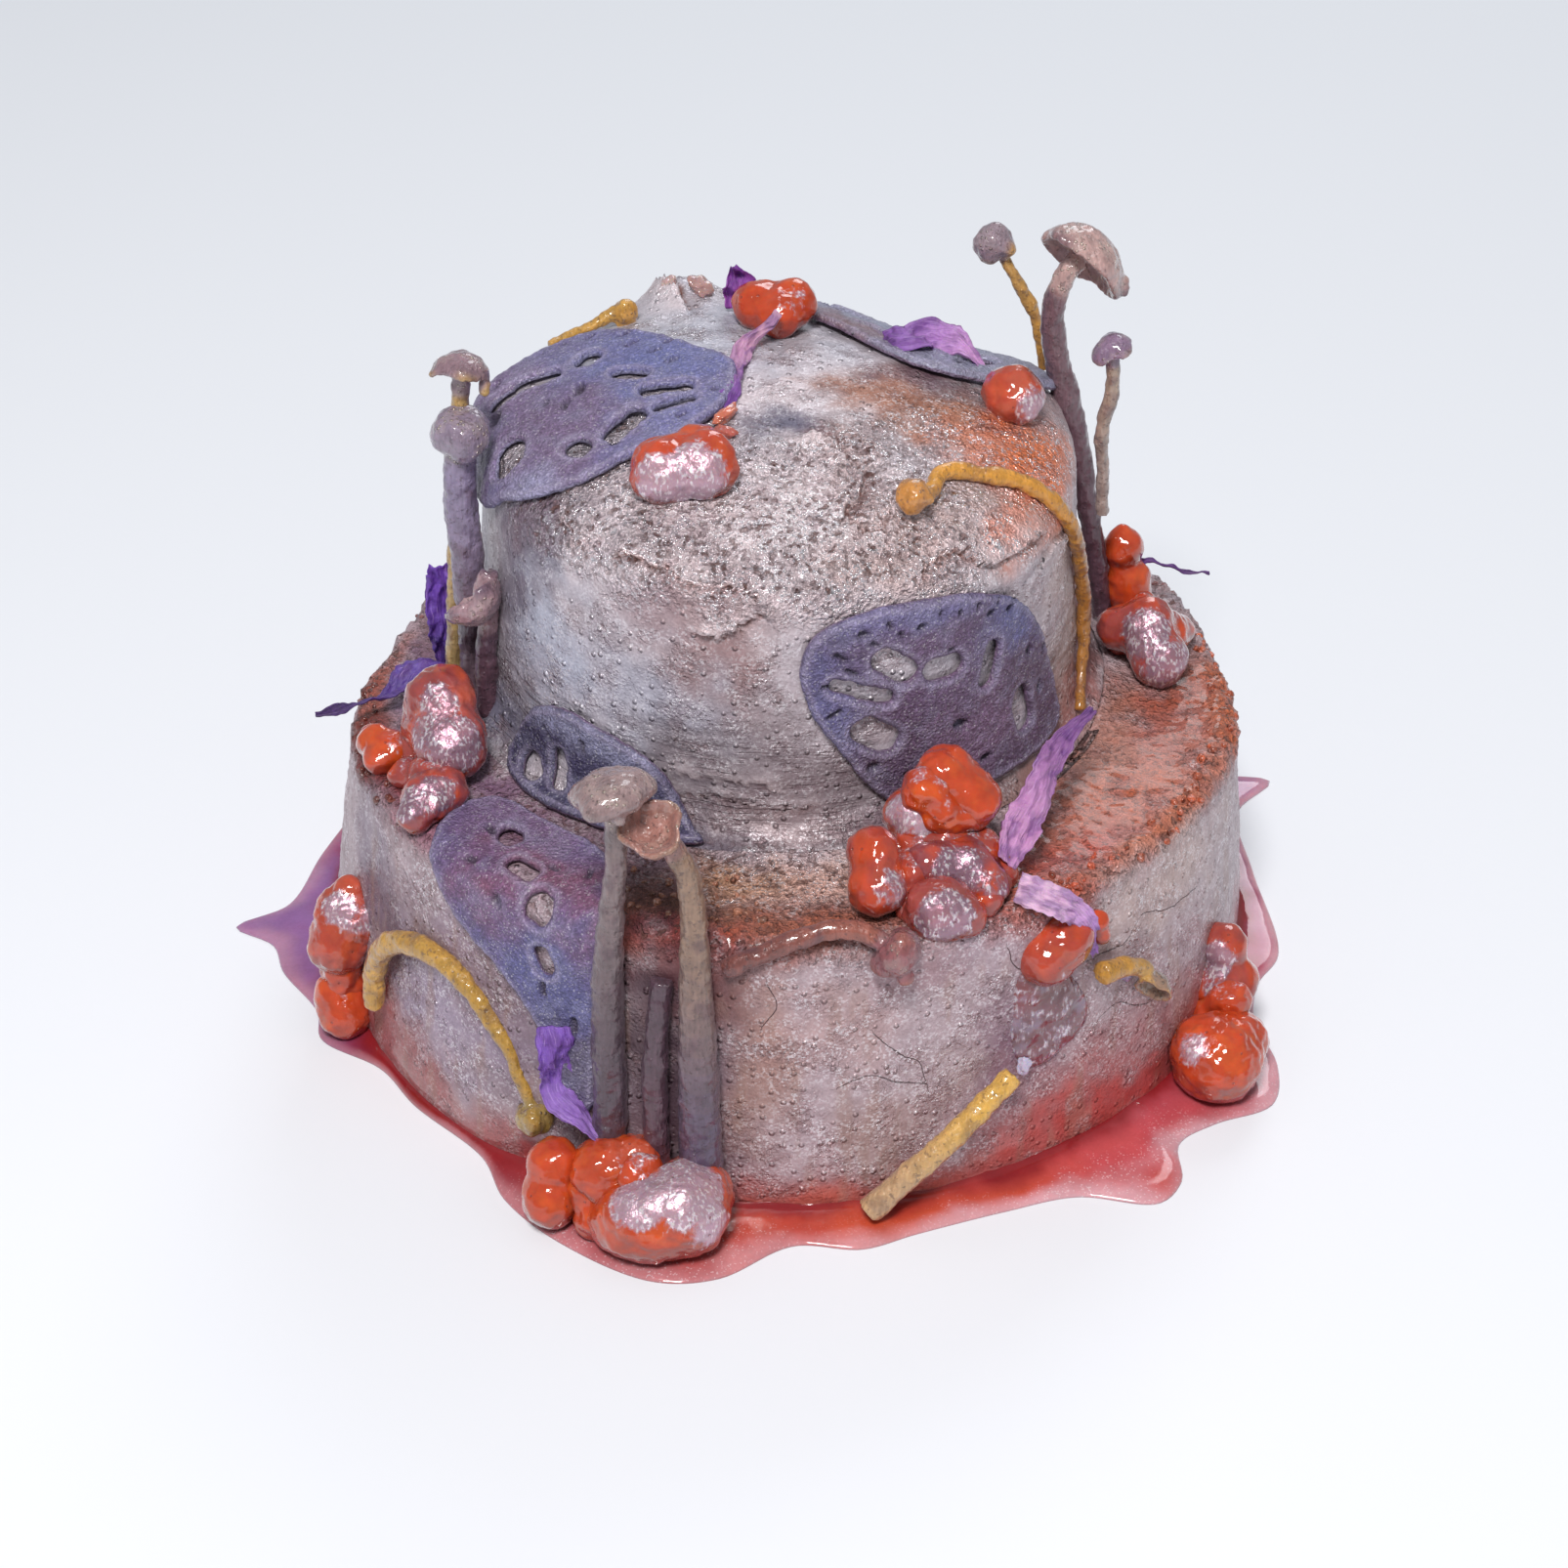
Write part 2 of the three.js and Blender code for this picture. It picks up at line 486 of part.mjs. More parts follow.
const JELLY_LUMPS = {
  jelly_top_back: {
    at: [-3, 21.5, 116], lobes: [[-3.5, 1.5, -0.5, 4.5], [3, 1.5, 0, 4.3], [0.5, -2.5, -1, 3.8]],
  },
  jelly_top_front: {
    at: [-17, -30.5, 114.5], lobes: [[-4, -1.5, -1, 5.6], [3, -1.5, 0, 5.4], [1.5, 2.5, 1, 3.8]],
  },
  jelly_top_right: { at: [37.5, 1, 110], lobes: [[-0.5, 1, 0, 4.6], [1, -1, 0, 4.2]] },
  jelly_left_tall: {
    at: [-59.5, -32.5, 64], lobes: [[0, 2.5, 3, 6], [2, -3.5, -2, 6.4], [-2.5, 0.5, -1.5, 4.2]],
  },
  jelly_left_low: {
    at: [-60.5, -46.5, 57.8], lobes: [[-0.5, 0.5, 0, 4.3], [3, 2.5, 0.5, 3.7], [-2, -3.5, -1, 3]],
  },
  jelly_left_rim: {
    at: [-69.5, -30, 57.5], lobes: [[-2, 1, 0, 3.2], [2, -1.5, 0, 3.4], [-1, -4, -0.5, 2.6]],
  },
  jelly_front_crown: {
    at: [25.5, -58.5, 68], lobes: [[-4.5, -1.5, -3, 5.4], [0, 1.5, 3, 5.3], [4.5, -0.5, 0, 5]],
  },
  jelly_front_left: {
    at: [14.5, -70.5, 62], lobes: [[-0.5, 2.5, 2, 4.3], [0, -2.5, -2, 4.6], [1, 2, -3, 4.6]],
  },
  jelly_front_right: {
    at: [28, -68, 59.5], lobes: [[-5, 0, 1.5, 4.4], [1, 2, 0.5, 4.8], [4.5, -1, -1.5, 4]],
  },
  jelly_front_bead: { at: [26.5, -74, 56.5], lobes: [[-2.5, 0, 0.5, 5.4], [2, 0, -0.5, 3.8]] },
  jelly_right_peak: {
    at: [61, 17, 67],
    lobes: [[-1, 0, 6.5, 1.8], [-0.5, 0, 2.5, 2.7], [0.5, 0, -2.5, 3.6], [1.5, -1, -7, 4.4]],
  },
  jelly_right_lobes: {
    at: [65, 1, 61.5], lobes: [[-6, 1, 1, 4.1], [-1, -1, 3, 5.1], [1, -5, -1.5, 5.3], [5.5, 5, -2, 3.2]],
  },
  jelly_foot_left_high: {
    at: [-78.8, -35, 23.5],
    lobes: [[1.5, 1.5, 4.5, 2.8], [-0.5, 0.5, 0.5, 4.6], [-1, -1.5, -5, 5.5], [3.5, -0.5, 0, 4.2]],
  },
  jelly_foot_left_low: { at: [-80, -38, 6.5], lobes: [[-0.5, 1, 1.5, 4.3], [1, -1, -2, 4.5]] },
  jelly_foot_front_small: { at: [-38.5, -87, 9], lobes: [[0, 1.5, 2.5, 4.4], [-0.5, -1.5, -3.5, 4.9]] },
  jelly_foot_front_left: {
    at: [-27, -86.5, 12], lobes: [[-3, -0.5, -1, 5.9], [2.5, 0.5, 1, 4], [0, 0, -5, 5]],
  },
  jelly_foot_front_big: {
    at: [-18.5, -93, 8],
    lobes: [[1.5, -0.5, 0.5, 8], [-5, -2, -0.5, 7], [-9, 0.5, -2.5, 5.5], [4, 3.5, 0.5, 6]],
  },
  jelly_foot_right_high: {
    at: [78.5, -38, 18], lobes: [[-1, 1, 3, 4.2], [1, -1, -3.5, 4.6], [-3.5, -1.5, -4.5, 3.6]],
  },
  jelly_foot_right_low: {
    at: [76.5, -50, 8], lobes: [[-0.5, -2.5, -0.5, 7.7], [3.5, 2.5, 0, 5.6], [-3.5, -0.5, 1, 5]],
  },
  jelly_wall_right: { at: [44.5, -70, 46], lobes: [[-2, -0.5, -1.5, 5], [1.5, 0.5, 1.5, 4.5]] },
  jelly_wall_bead: { at: [51.5, -64.5, 46], lobes: [[0, 0, 1.5, 1.8], [0.5, 0, -1.2, 1.8]] },
};

const MUSHROOMS = {
  mushroom_left_far: {
    points: [[-59.5, -12, 56], [-58, -12, 78.5], [-56.5, -12, 98], [-55.5, -12, 112], [-55, -12, 120]],
    radii: [1.8, 1.6, 1.7, 1.4],
    cap: { kind: 'bell', at: [-54.8, -12, 121.8], axis: [0.1, 0.45, 1], radius: 5, height: 4.6 },
  },
  mushroom_left_near: {
    points: [
      [-56, -14, 56.5], [-55.5, -14.5, 76], [-55.5, -15, 87.5], [-56, -15, 96.5], [-55.5, -15, 108],
    ],
    radii: [2, 2.3, 2.9, 3, 2.6],
    cap: { kind: 'button', at: [-55.2, -15, 111], axis: [0.1, -0.2, 1], radius: 5.1, height: 7.5 },
  },
  mushroom_left_bent: {
    points: [
      [-52.5, -20, 57.5], [-52.5, -19.5, 70], [-51.5, -19.5, 80], [-51.5, -19.5, 86], [-52.5, -20.5, 83],
    ],
    radii: [2.2, 2, 1.7, 1.5],
    cap: { kind: 'bell', at: [-53, -21.5, 80.5], axis: [0.65, -0.3, -0.75], radius: 5.6, height: 5.4 },
  },
  mushroom_back: {
    points: [[-43, 19.5, 109], [-38.5, 23, 109.5], [-33.5, 25.5, 111], [-31, 26.5, 112]],
    radii: [0.9, 1, 1.4],
    cap: { kind: 'button', at: [-29.5, 27, 111.6], axis: [1, 0.3, -0.25], radius: 2.6, height: 4 },
    golden: true,
  },
  mushroom_right_tall: {
    points: [
      [57.5, 15, 57], [56, 15, 67], [52.8, 15.5, 82.5], [50.3, 16.5, 94.5], [48.2, 16.5, 102],
      [45.8, 16.5, 111],
      [45, 16, 119], [47, 16, 126],
    ],
    radii: [1.9, 1.9, 2.1, 2.5, 2.1, 1.9],
    cap: { kind: 'bell', at: [50.7, 17.6, 129.4], axis: [0.62, 0.47, 0.62], radius: 8.3, height: 6.9 },
  },
  mushroom_right_golden: {
    points: [[44.8, 24.5, 102.5], [43.5, 25, 110.5], [42, 25, 114.5], [39, 25, 120], [35.8, 25, 125.5]],
    radii: [1.2, 1.2, 0.9],
    cap: { kind: 'button', at: [34.6, 25, 127.3], axis: [-0.5, -0.3, 0.9], radius: 3.6, height: 6 },
    golden: true,
  },
  mushroom_right_small: {
    points: [[55, 6, 84], [54.3, 5, 95], [53.7, 4, 102], [55, 4, 109], [54.6, 4, 116]],
    radii: [1.2, 1.2, 1.3, 1.1],
    cap: { kind: 'bell', at: [54, 4, 118.3], axis: [-0.45, -0.1, 0.88], radius: 3.7, height: 3.2 },
  },
  mushroom_draped: {
    onSkin: [
      [-19, 97, 1], [-12, 91, 1.2], [-9, 83, 1.3], [-11, 74, 1.4], [-15, 66, 1.4], [-20, 57, 1.4],
      [-24, 50.5, 1.4], [-28, 45, 1.4], [-34, 40.5, 1.4], [-42, 36.5, 1.4], [-51, 39, 1.6],
    ],
    radii: [0.9, 1.3, 1.4, 1.5, 1.5],
    cap: { kind: 'button', at: [19.6, -35, 111], axis: [-0.5, -0.6, 0.5], radius: 3, height: 5.2 },
    golden: true,
  },
  mushroom_front_left: {
    points: [
      [-29.5, -82.5, 14], [-29, -82, 22], [-29, -81.5, 42], [-28, -82.5, 61], [-27, -83.5, 71],
      [-26.8, -84, 82],
    ],
    radii: [3, 2.9, 2.6, 1.9, 1.7],
    cap: { kind: 'button', at: [-27.4, -83.8, 86.6], axis: [-0.2, 0.2, 1], radius: 6.6, height: 6 },
  },
  mushroom_front_right: {
    points: [
      [-13.8, -86.5, 5], [-14, -86, 24], [-14.5, -84.8, 48], [-14.8, -84.6, 63], [-15.8, -84.8, 72],
      [-18.4, -85, 77.5],
    ],
    radii: [3.8, 3.6, 3, 2.2, 1.9],
    cap: { kind: 'cup', at: [-20.6, -85.8, 79.8], axis: [-0.15, -0.45, 0.85], radius: 5.1, height: 5.4 },
  },
  mushroom_front_stub: {
    points: [[-20.8, -85, 10.5], [-21.5, -84, 22], [-21, -83.2, 37], [-20, -82, 48]],
    radii: [2.2, 2.2, 1.9],
  },
  mushroom_ledge: {
    points: [[-10, -83.5, 51.5], [-3.5, -83.6, 55], [4, -82, 57.6], [10, -81.2, 58], [15, -82, 56.6]],
    radii: [1.7, 1.7, 1.6, 1.5],
    cap: { kind: 'button', at: [18, -83, 54.6], axis: [0.75, -0.3, -0.5], radius: 4.4, height: 6 },
  },
  mushroom_arch: {
    points: [
      [-72.5, -47.5, 14], [-71.5, -48.5, 23], [-69, -51.5, 30], [-65, -55.5, 34.2], [-59.5, -60.5, 35.6],
      [-54.5, -65, 34], [-50, -69, 29.5], [-46.3, -72, 24.5], [-44.2, -74, 19],
    ],
    radii: [1.9, 2.2, 2, 1.5, 1.3],
    cap: { kind: 'button', at: [-42, -76.5, 13.2], axis: [0.35, -0.3, -0.9], radius: 3.8, height: 5.4 },
    golden: true,
  },
  mushroom_curl: {
    points: [[52.5, -67, 38.2], [56.5, -63.8, 37.2], [60, -61, 34.8], [62.5, -59.5, 31.5]],
    radii: [1.9, 1.7, 1.3],
    cap: { kind: 'cup', at: [62.8, -60, 31], axis: [-0.35, -0.75, -0.45], radius: 3.4, height: 4 },
    golden: true,
  },
  mushroom_leaning: {
    points: [[38, -78.2, 25.5], [26.8, -84.2, 15.4], [14.2, -87.8, 3.2]],
    radii: [1.9, 2.1, 2.3],
    golden: true,
  },
};

const PETALS = {
  petal_top_back: {
    points: [[-9.7, 28, 112.5], [-9.6, 28, 117], [-10.6, 28, 120.8]],
    widths: [5, 6, 1], side: [1, 0, 0],
  },
  petal_top_strip: {
    points: [
      [-2.5, 13.5, 119], [-5, 12.5, 116.5], [-8, 9.5, 114.6], [-9.5, 3, 114.6], [-10.2, -6, 114.4],
      [-13, -13.5, 113.8],
    ],
    widths: [1, 2, 3.6, 3.2, 2.4, 3.4, 2], side: [1, 0.3, 0],
  },
  petal_top_right: {
    points: [[16, 16, 111.8], [20, 14.5, 113.4], [24, 17, 113.6], [29, 15, 112], [34, 11.5, 109.4]],
    widths: [3, 7, 6, 4, 2], side: [0, 1, 0.5], wave: 1.2,
  },
  petal_left_tuft: {
    points: [[-61, -7, 56], [-61.5, -7, 67], [-61.5, -7, 80]],
    widths: [2, 4.5, 5.5, 3.5], side: [1, 0.2, 0],
  },
  petal_left_flat: {
    points: [[-62.5, -9, 61], [-66, -12, 60.6], [-70, -16, 59.6], [-76, -19.5, 58.4], [-83, -20.5, 57.6]],
    widths: [5, 6, 2.4, 1.4, 0.8], side: [0.6, -0.8, 0],
  },
  petal_front_long: {
    points: [
      [35.7, -66.5, 60.6], [38.2, -61, 63.5], [40.7, -56, 66.8], [43.2, -51, 70], [46.7, -45, 71.9],
      [50.8, -40, 72.9],
    ],
    widths: [4, 6.5, 5.5, 5, 3.4, 1.6], side: [1, 0.6, 0],
  },
  petal_front_rim: {
    points: [[37.5, -69.5, 58], [41, -71, 57.6], [45.6, -72, 56], [49, -70, 51], [51.5, -67, 42]],
    widths: [5, 5.4, 4.4, 3.2, 1.2], side: [0.6, 0.5, 0.6], wave: 0.5,
  },
  petal_foot: {
    points: [
      [-38.2, -79.5, 35.8], [-37.6, -80.5, 26.7], [-38, -80.8, 22.4], [-33.5, -83.5, 18.8],
      [-30.4, -85.5, 17.2],
    ],
    widths: [5, 7.4, 4.6, 4.8, 2], side: [1, 0.4, 0], wave: 1.1,
  },
  petal_right_thread: {
    points: [[64, 19, 66.2], [68.5, 19, 65.4], [73, 19, 64.2], [77, 19, 63.8]],
    widths: [1.2, 0.8, 0.8], side: [0, 1, 0], wave: 0.2,
  },
};

// --- Assembly: every piece gives way, with clearance, to the pieces that it leans on --------------

const pieces = [
  { name: 'lower_tier', make: lowerTier, look: 'frosting' },
  { name: 'upper_tier', make: upperTier, look: 'frosting' },
];
for (const [name, spec] of Object.entries(LOTUS_SLICES)) {
  pieces.push({ name, make: lotusSlice(spec), look: 'lotus' });
}
for (const [name, spec] of Object.entries(MUSHROOMS)) {
  const points = spec.points ?? spec.onSkin.map(([az, run, lift]) => skin(az, run, lift).toArray());
  pieces.push({ name, make: mushroom({ ...spec, points }), look: spec.golden ? 'golden' : 'lilac' });
}
for (const [name, spec] of Object.entries(JELLY_LUMPS)) {
  pieces.push({ name, make: jellyLump(spec), look: 'jelly' });
}
for (const [name, spec] of Object.entries(PETALS)) {
  pieces.push({ name, make: petal(spec), look: 'petal' });
}
pieces.push({ name: 'syrup_puddle', make: syrup, look: 'syrup' });

function overlaps(a, b) {
  const [one, two] = [a.boundingBox(), b.boundingBox()];
  const near = [0, 1, 2].every((k) => one.min[k] < two.max[k] && two.min[k] < one.max[k]);
  return near && a.intersect(b).volume() > OVERLAP;
}

// The plainest version of a piece that stays clear of the pieces before it
function trimmed(solid, before) {
  const candidates = TRIMS.map((trim) => largestOf(solid.simplify(trim)));
  return candidates.find((candidate) => !before.some((other) => overlaps(candidate, other))) ?? solid;
}

const cake = new THREE.Group();
const earlier = [];
for (const { name, make, look } of pieces) {
  let solid = make(0);
  for (const { guard, grown } of earlier) {
    if (overlaps(solid, guard)) {
      solid = largestOf(solid.subtract(grown));
    }
  }
  solid = trimmed(solid, earlier.flatMap((other) => [other.solid, other.guard]));
  earlier.push({ solid, guard: make(CLEAR), grown: make(GAP) });
  const mesh = new THREE.Mesh(geometryOf(solid), new THREE.MeshStandardMaterial(COLOURS[look]));
  mesh.name = name;
  cake.add(mesh);
}

export default cake;
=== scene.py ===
"""A two-tier sweet potato cake in pearly frosting, with thin root slices, jelly lumps, long-stemmed
mushrooms, dried petals and a ring of syrup.

Lengths are in millimetres until a piece is finished, and angles are in degrees.
An azimuth turns anticlockwise from +X, and a run is the way down the cake's outside from the top.
"""
import math

import bmesh
import bpy
import numpy as np
from mathutils import Matrix, Vector, noise


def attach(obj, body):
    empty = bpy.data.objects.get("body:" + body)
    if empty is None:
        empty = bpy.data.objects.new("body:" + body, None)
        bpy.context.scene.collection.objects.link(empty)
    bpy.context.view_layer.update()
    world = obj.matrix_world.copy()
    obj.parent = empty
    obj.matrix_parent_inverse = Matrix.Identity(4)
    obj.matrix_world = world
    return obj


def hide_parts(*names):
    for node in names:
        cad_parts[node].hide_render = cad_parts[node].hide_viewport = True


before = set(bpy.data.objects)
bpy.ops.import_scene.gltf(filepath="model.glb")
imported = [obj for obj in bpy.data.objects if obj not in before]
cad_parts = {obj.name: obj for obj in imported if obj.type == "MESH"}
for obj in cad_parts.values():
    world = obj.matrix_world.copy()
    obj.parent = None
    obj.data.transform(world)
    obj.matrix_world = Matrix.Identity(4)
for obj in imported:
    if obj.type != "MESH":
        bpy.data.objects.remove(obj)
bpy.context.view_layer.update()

MM = 0.001
WELD = 1e-5


# --- The shape of the cake -------------------------------------------------------------------------

FOOT_RADIUS = 85
LEDGE_HEIGHT = 54.6
DOME_HEIGHT = 113.5
UPPER_RADIUS = 52
UPPER_AXIS_X = -2
DOME_TILT = -0.035
SEAT_HEIGHT = 55.2
SEAT_RADIUS = 58
GAP = 0.3
SLICE_LIFT = 0.5
SLICE_THICKNESS = 1.5
PETAL_THICKNESS = 0.6
SYRUP_DEPTH = 2.6
# Run below the seat over which the upper tier's axis comes back to the middle
AXIS_BLEND = 20
# Heights between which the dome's tilt sets in
TILT_HEIGHTS = (88, 102)

# Outer profile (radius, height) from the top of the dome to the floor
PROFILE = np.array([
    (0, DOME_HEIGHT), (12, DOME_HEIGHT - 0.5), (24, 111.8), (34, 109.9), (42, 107.4), (47, 104.6),
    (50, 101), (UPPER_RADIUS - 0.7, 96), (UPPER_RADIUS, 85), (UPPER_RADIUS + 0.8, 70), (53.6, 62),
    (55, 58.5), (58, 56), (66, LEDGE_HEIGHT + 0.4), (74, LEDGE_HEIGHT), (78.5, 54), (80.8, 52.2),
    (81.7, 48.5), (83, 35), (84.4, 18), (FOOT_RADIUS, 6), (FOOT_RADIUS, 0),
])
SEAT_KNOT = 12
RUNS = np.append(0, np.cumsum(np.hypot(*np.diff(PROFILE, axis=0).T)))
FLOOR_RUN = RUNS[-1]
SEAT_RUN = RUNS[SEAT_KNOT]

# Swellings of the frosting: azimuth, run, half width in degrees, half width in run, height
SWELLINGS = [
    (-125, 160, 18, 30, 1.6), (-60, 162, 15, 28, -1.3), (-90, 124, 34, 9, 1.3), (-60, 128, 8, 14, 0.9),
    (114, 43, 10, 5, 4.2), (52, 44, 26, 16, -4.2), (22, 51, 11, 10, 2.2), (172, 54, 12, 8, 1.5),
    (-104, 53, 15, 2.4, 1.1), (-68, 40, 7, 5, 1.3), (-40, 58, 12, 3, 0.9),
    (-12, 121, 9, 3, 1.1), (14, 121, 8, 3, 1.2), (-150, 121, 9, 3, 1.1),
]
RIM_RUN = 122
# Where the ledge is narrower: azimuth, half width in degrees, depth
RIM_INSETS = [(12, 16, 3), (90, 60, 6), (168, 20, 7.6)]


def smoothstep(value, low, high):
    """0 below low, 1 above high, and smooth between them."""
    share = np.clip((value - low) / (high - low), 0, 1)
    return share * share * (3 - 2 * share)


def between(value, rise_start, rise_end, fall_start, fall_end):
    """1 in a band, fading to 0 on both sides of it."""
    return smoothstep(value, rise_start, rise_end) * (1 - smoothstep(value, fall_start, fall_end))


def wrapped(offset):
    """An offset in degrees, brought between -180 and 180."""
    return np.mod(offset + 180, 360) - 180


def bump(offset, half_width):
    """A bell curve of one at an offset of zero. Offsets in degrees may go round the cake."""
    return np.exp(-(wrapped(offset) / half_width) ** 2)


def sector(azimuth, at, low, high):
    """1 near an azimuth and 0 away from it, by the cosine of the angle between them."""
    return smoothstep(np.cos(np.radians(azimuth - at)), low, high)


def slope(knot, axis):
    """How fast the profile's radius or height, its axis 0 or 1, changes at a knot."""
    low = np.maximum(knot - 1, 0)
    high = np.minimum(knot + 1, len(RUNS) - 1)
    return (PROFILE[high, axis] - PROFILE[low, axis]) / (RUNS[high] - RUNS[low])


def profile_at(run):
    """The profile's radius and height at each run, and how fast each changes."""
    s = np.clip(run, 0, FLOOR_RUN)
    i = np.clip(np.searchsorted(RUNS, s, side="right") - 1, 0, len(RUNS) - 2)
    span = RUNS[i + 1] - RUNS[i]
    t = (s - RUNS[i]) / span
    found = []
    for axis in (0, 1):
        start, end = PROFILE[i, axis], PROFILE[i + 1, axis]
        start_slope, end_slope = slope(i, axis), slope(i + 1, axis)
        found.append((2 * t**3 - 3 * t**2 + 1) * start + (t**3 - 2 * t**2 + t) * span * start_slope
                     + (3 * t**2 - 2 * t**3) * end + (t**3 - t**2) * span * end_slope)
    for axis in (0, 1):
        found.append(slope(i, axis) * (1 - t) + slope(i + 1, axis) * t)
    return found


def relief(azimuth, run):
    """Uneven hand-spread frosting, as a displacement along the normal."""
    a = np.radians(azimuth)
    fade = smoothstep(run, 8, 40) * (1 - smoothstep(run, FLOOR_RUN - 8, FLOOR_RUN) * 0.6)
    height = 0.45 * np.sin(3 * a + 0.6) + 0.3 * np.sin(5 * a + 0.06 * run + 2.1)
    height = (height + 0.2 * np.sin(9 * a - 0.11 * run)) * fade
    for at, at_run, width, length, rise in SWELLINGS:
        height = height + rise * bump(azimuth - at, width) * np.exp(-((run - at_run) / length) ** 2)
    return height * smoothstep(run, 0, 12)


def inset(azimuth, run):
    """How far the outside is drawn in, most of all at the ledge's rim."""
    share = between(run, SEAT_RUN, RIM_RUN, RIM_RUN, FLOOR_RUN)
    return share * sum(depth * bump(azimuth - at, width) for at, width, depth in RIM_INSETS)


def skin(azimuth, run, lift=0.0):
    """Points on the cake's outside, lifted along its normal."""
    azimuth = np.asarray(azimuth, float)
    run = np.asarray(run, float)
    radius, height, radius_slope, height_slope = profile_at(run)
    length = np.hypot(radius_slope, height_slope)
    out = lift + relief(azimuth, run)
    radius = np.where(run > 0, radius - height_slope / length * out - inset(azimuth, run), 0)
    axis_x = UPPER_AXIS_X * (1 - smoothstep(run, SEAT_RUN, SEAT_RUN + AXIS_BLEND))
    a = np.radians(azimuth)
    tilt = DOME_TILT * radius * np.cos(a) * smoothstep(height, *TILT_HEIGHTS)
    height = np.maximum(height + radius_slope / length * out + tilt, 0)
    return np.stack([axis_x + radius * np.cos(a), radius * np.sin(a), height], axis=-1)


def mapped(azimuth, distance):
    """Points of the plane from an azimuth and a distance."""
    a = np.radians(azimuth)
    return np.stack([distance * np.cos(a), distance * np.sin(a)], axis=-1)


def unmapped(plane):
    """The azimuth and the distance of points of the plane."""
    return np.degrees(np.arctan2(plane[:, 1], plane[:, 0])), np.hypot(plane[:, 0], plane[:, 1])


# --- Mesh helpers ----------------------------------------------------------------------------------

# Spreads the middles of cells so far that no two of them draw the same number
CELL_DRAW = 37.7
# How far above the floor the lowest points of soft pieces end
FLOOR_CLEARANCE = 0.02


def seeded(seed):
    """The place in the noise where a seed starts."""
    return Vector((seed * 17.3, seed * 9.1, seed * 4.7))


def fractal(points, size, octaves=3, seed=0):
    """Noise of about -1 to 1, whose largest swells are size across."""
    shift = seeded(seed)
    return np.array([noise.fractal(Vector(p) / size + shift, 1.0, 2.0, octaves) for p in points])


def cells(points, size, seed=0):
    """The distance from each point to the middle of its cell, in shares of size, and a random number
    of the cell."""
    shift = seeded(seed)
    distances = np.empty(len(points))
    draws = np.empty(len(points))
    for k, p in enumerate(points):
        nearest, middles = noise.voronoi(Vector(p) / size + shift)
        distances[k] = nearest[0]
        draws[k] = noise.cell(middles[0] * CELL_DRAW)
    return distances, draws


def curve_through(points, closed=False, spans=24):
    """A smooth curve through points, as many short steps."""
    knots = np.asarray(points, float)
    if closed:
        padded = np.vstack([knots[-1], knots, knots[0], knots[1]])
    else:
        padded = np.vstack([2 * knots[0] - knots[1], knots, 2 * knots[-1] - knots[-2]])
    t = np.linspace(0, 1, spans, endpoint=False)[:, None]
    pieces = []
    for p0, p1, p2, p3 in zip(padded, padded[1:], padded[2:], padded[3:]):
        d0, d1, d2 = (max(np.linalg.norm(b - a), 1e-4) ** 0.5 for a, b in ((p0, p1), (p1, p2), (p2, p3)))
        start = ((p1 - p0) / d0 - (p2 - p0) / (d0 + d1) + (p2 - p1) / d1) * d1
        end = ((p2 - p1) / d1 - (p3 - p1) / (d1 + d2) + (p3 - p2) / d2) * d1
        pieces.append((2 * t**3 - 3 * t**2 + 1) * p1 + (t**3 - 2 * t**2 + t) * start
                      + (3 * t**2 - 2 * t**3) * p2 + (t**3 - t**2) * end)
    return np.vstack(pieces + ([] if closed else [knots[-1:]]))


def along(curve, shares):
    """Points of a curve at shares of its length."""
    steps = np.linalg.norm(np.diff(curve, axis=0), axis=1)
    way = np.append(0, np.cumsum(steps)) / steps.sum()
    return np.stack([np.interp(shares, way, curve[:, k]) for k in range(curve.shape[1])], axis=-1)


def unit(vectors):
    """Vectors brought to a length of one."""
    return vectors / np.linalg.norm(vectors, axis=1)[:, None]


def in_space(flat):
    """Points of a plane as points of space."""
    return np.column_stack([flat, np.zeros(len(flat))])


def spun(section, steps, closed=False):
    """A surface of revolution about Z from a section of (radius, height) points, as a bmesh."""
    bm = bmesh.new()
    verts = [bm.verts.new((radius, 0, height)) for radius, height in section]
    edges = [bm.edges.new(pair) for pair in zip(verts, verts[1:])]
    if closed:
        edges.append(bm.edges.new((verts[-1], verts[0])))
    bmesh.ops.spin(
        bm, geom=verts + edges, cent=(0, 0, 0), axis=(0, 0, 1), angle=math.tau, steps=steps, use_merge=True)
    bmesh.ops.remove_doubles(bm, verts=bm.verts, dist=WELD)
    bmesh.ops.recalc_face_normals(bm, faces=bm.faces)
    return bm


def thickened(bm):
    """Gives a flat sheet its other side, one unit above the first."""
    raised = bmesh.ops.extrude_face_region(bm, geom=bm.faces[:], use_keep_orig=True)["geom"]
    upper = [part for part in raised if isinstance(part, bmesh.types.BMVert)]
    bmesh.ops.translate(bm, vec=(0, 0, 1), verts=upper)


def coordinates(bm):
    return np.array([vert.co for vert in bm.verts])


def reshaped(bm, points):
    """The bmesh with its points moved, and its faces outward."""
    for vert, point in zip(bm.verts, points):
        vert.co = point
    if bm.calc_volume(signed=True) < 0:
        bmesh.ops.reverse_faces(bm, faces=bm.faces)
    return bm


def mesh_of(bm, name):
    """The finished mesh of a bmesh, in metres."""
    bmesh.ops.scale(bm, vec=(MM, MM, MM), verts=bm.verts)
    mesh = bpy.data.meshes.new(name)
    bm.to_mesh(mesh)
    bm.free()
    return mesh


def points_of(mesh):
    """The points of a finished mesh, in millimetres."""
    found = np.empty(len(mesh.vertices) * 3)
    mesh.vertices.foreach_get("co", found)
    return found.reshape(-1, 3) / MM


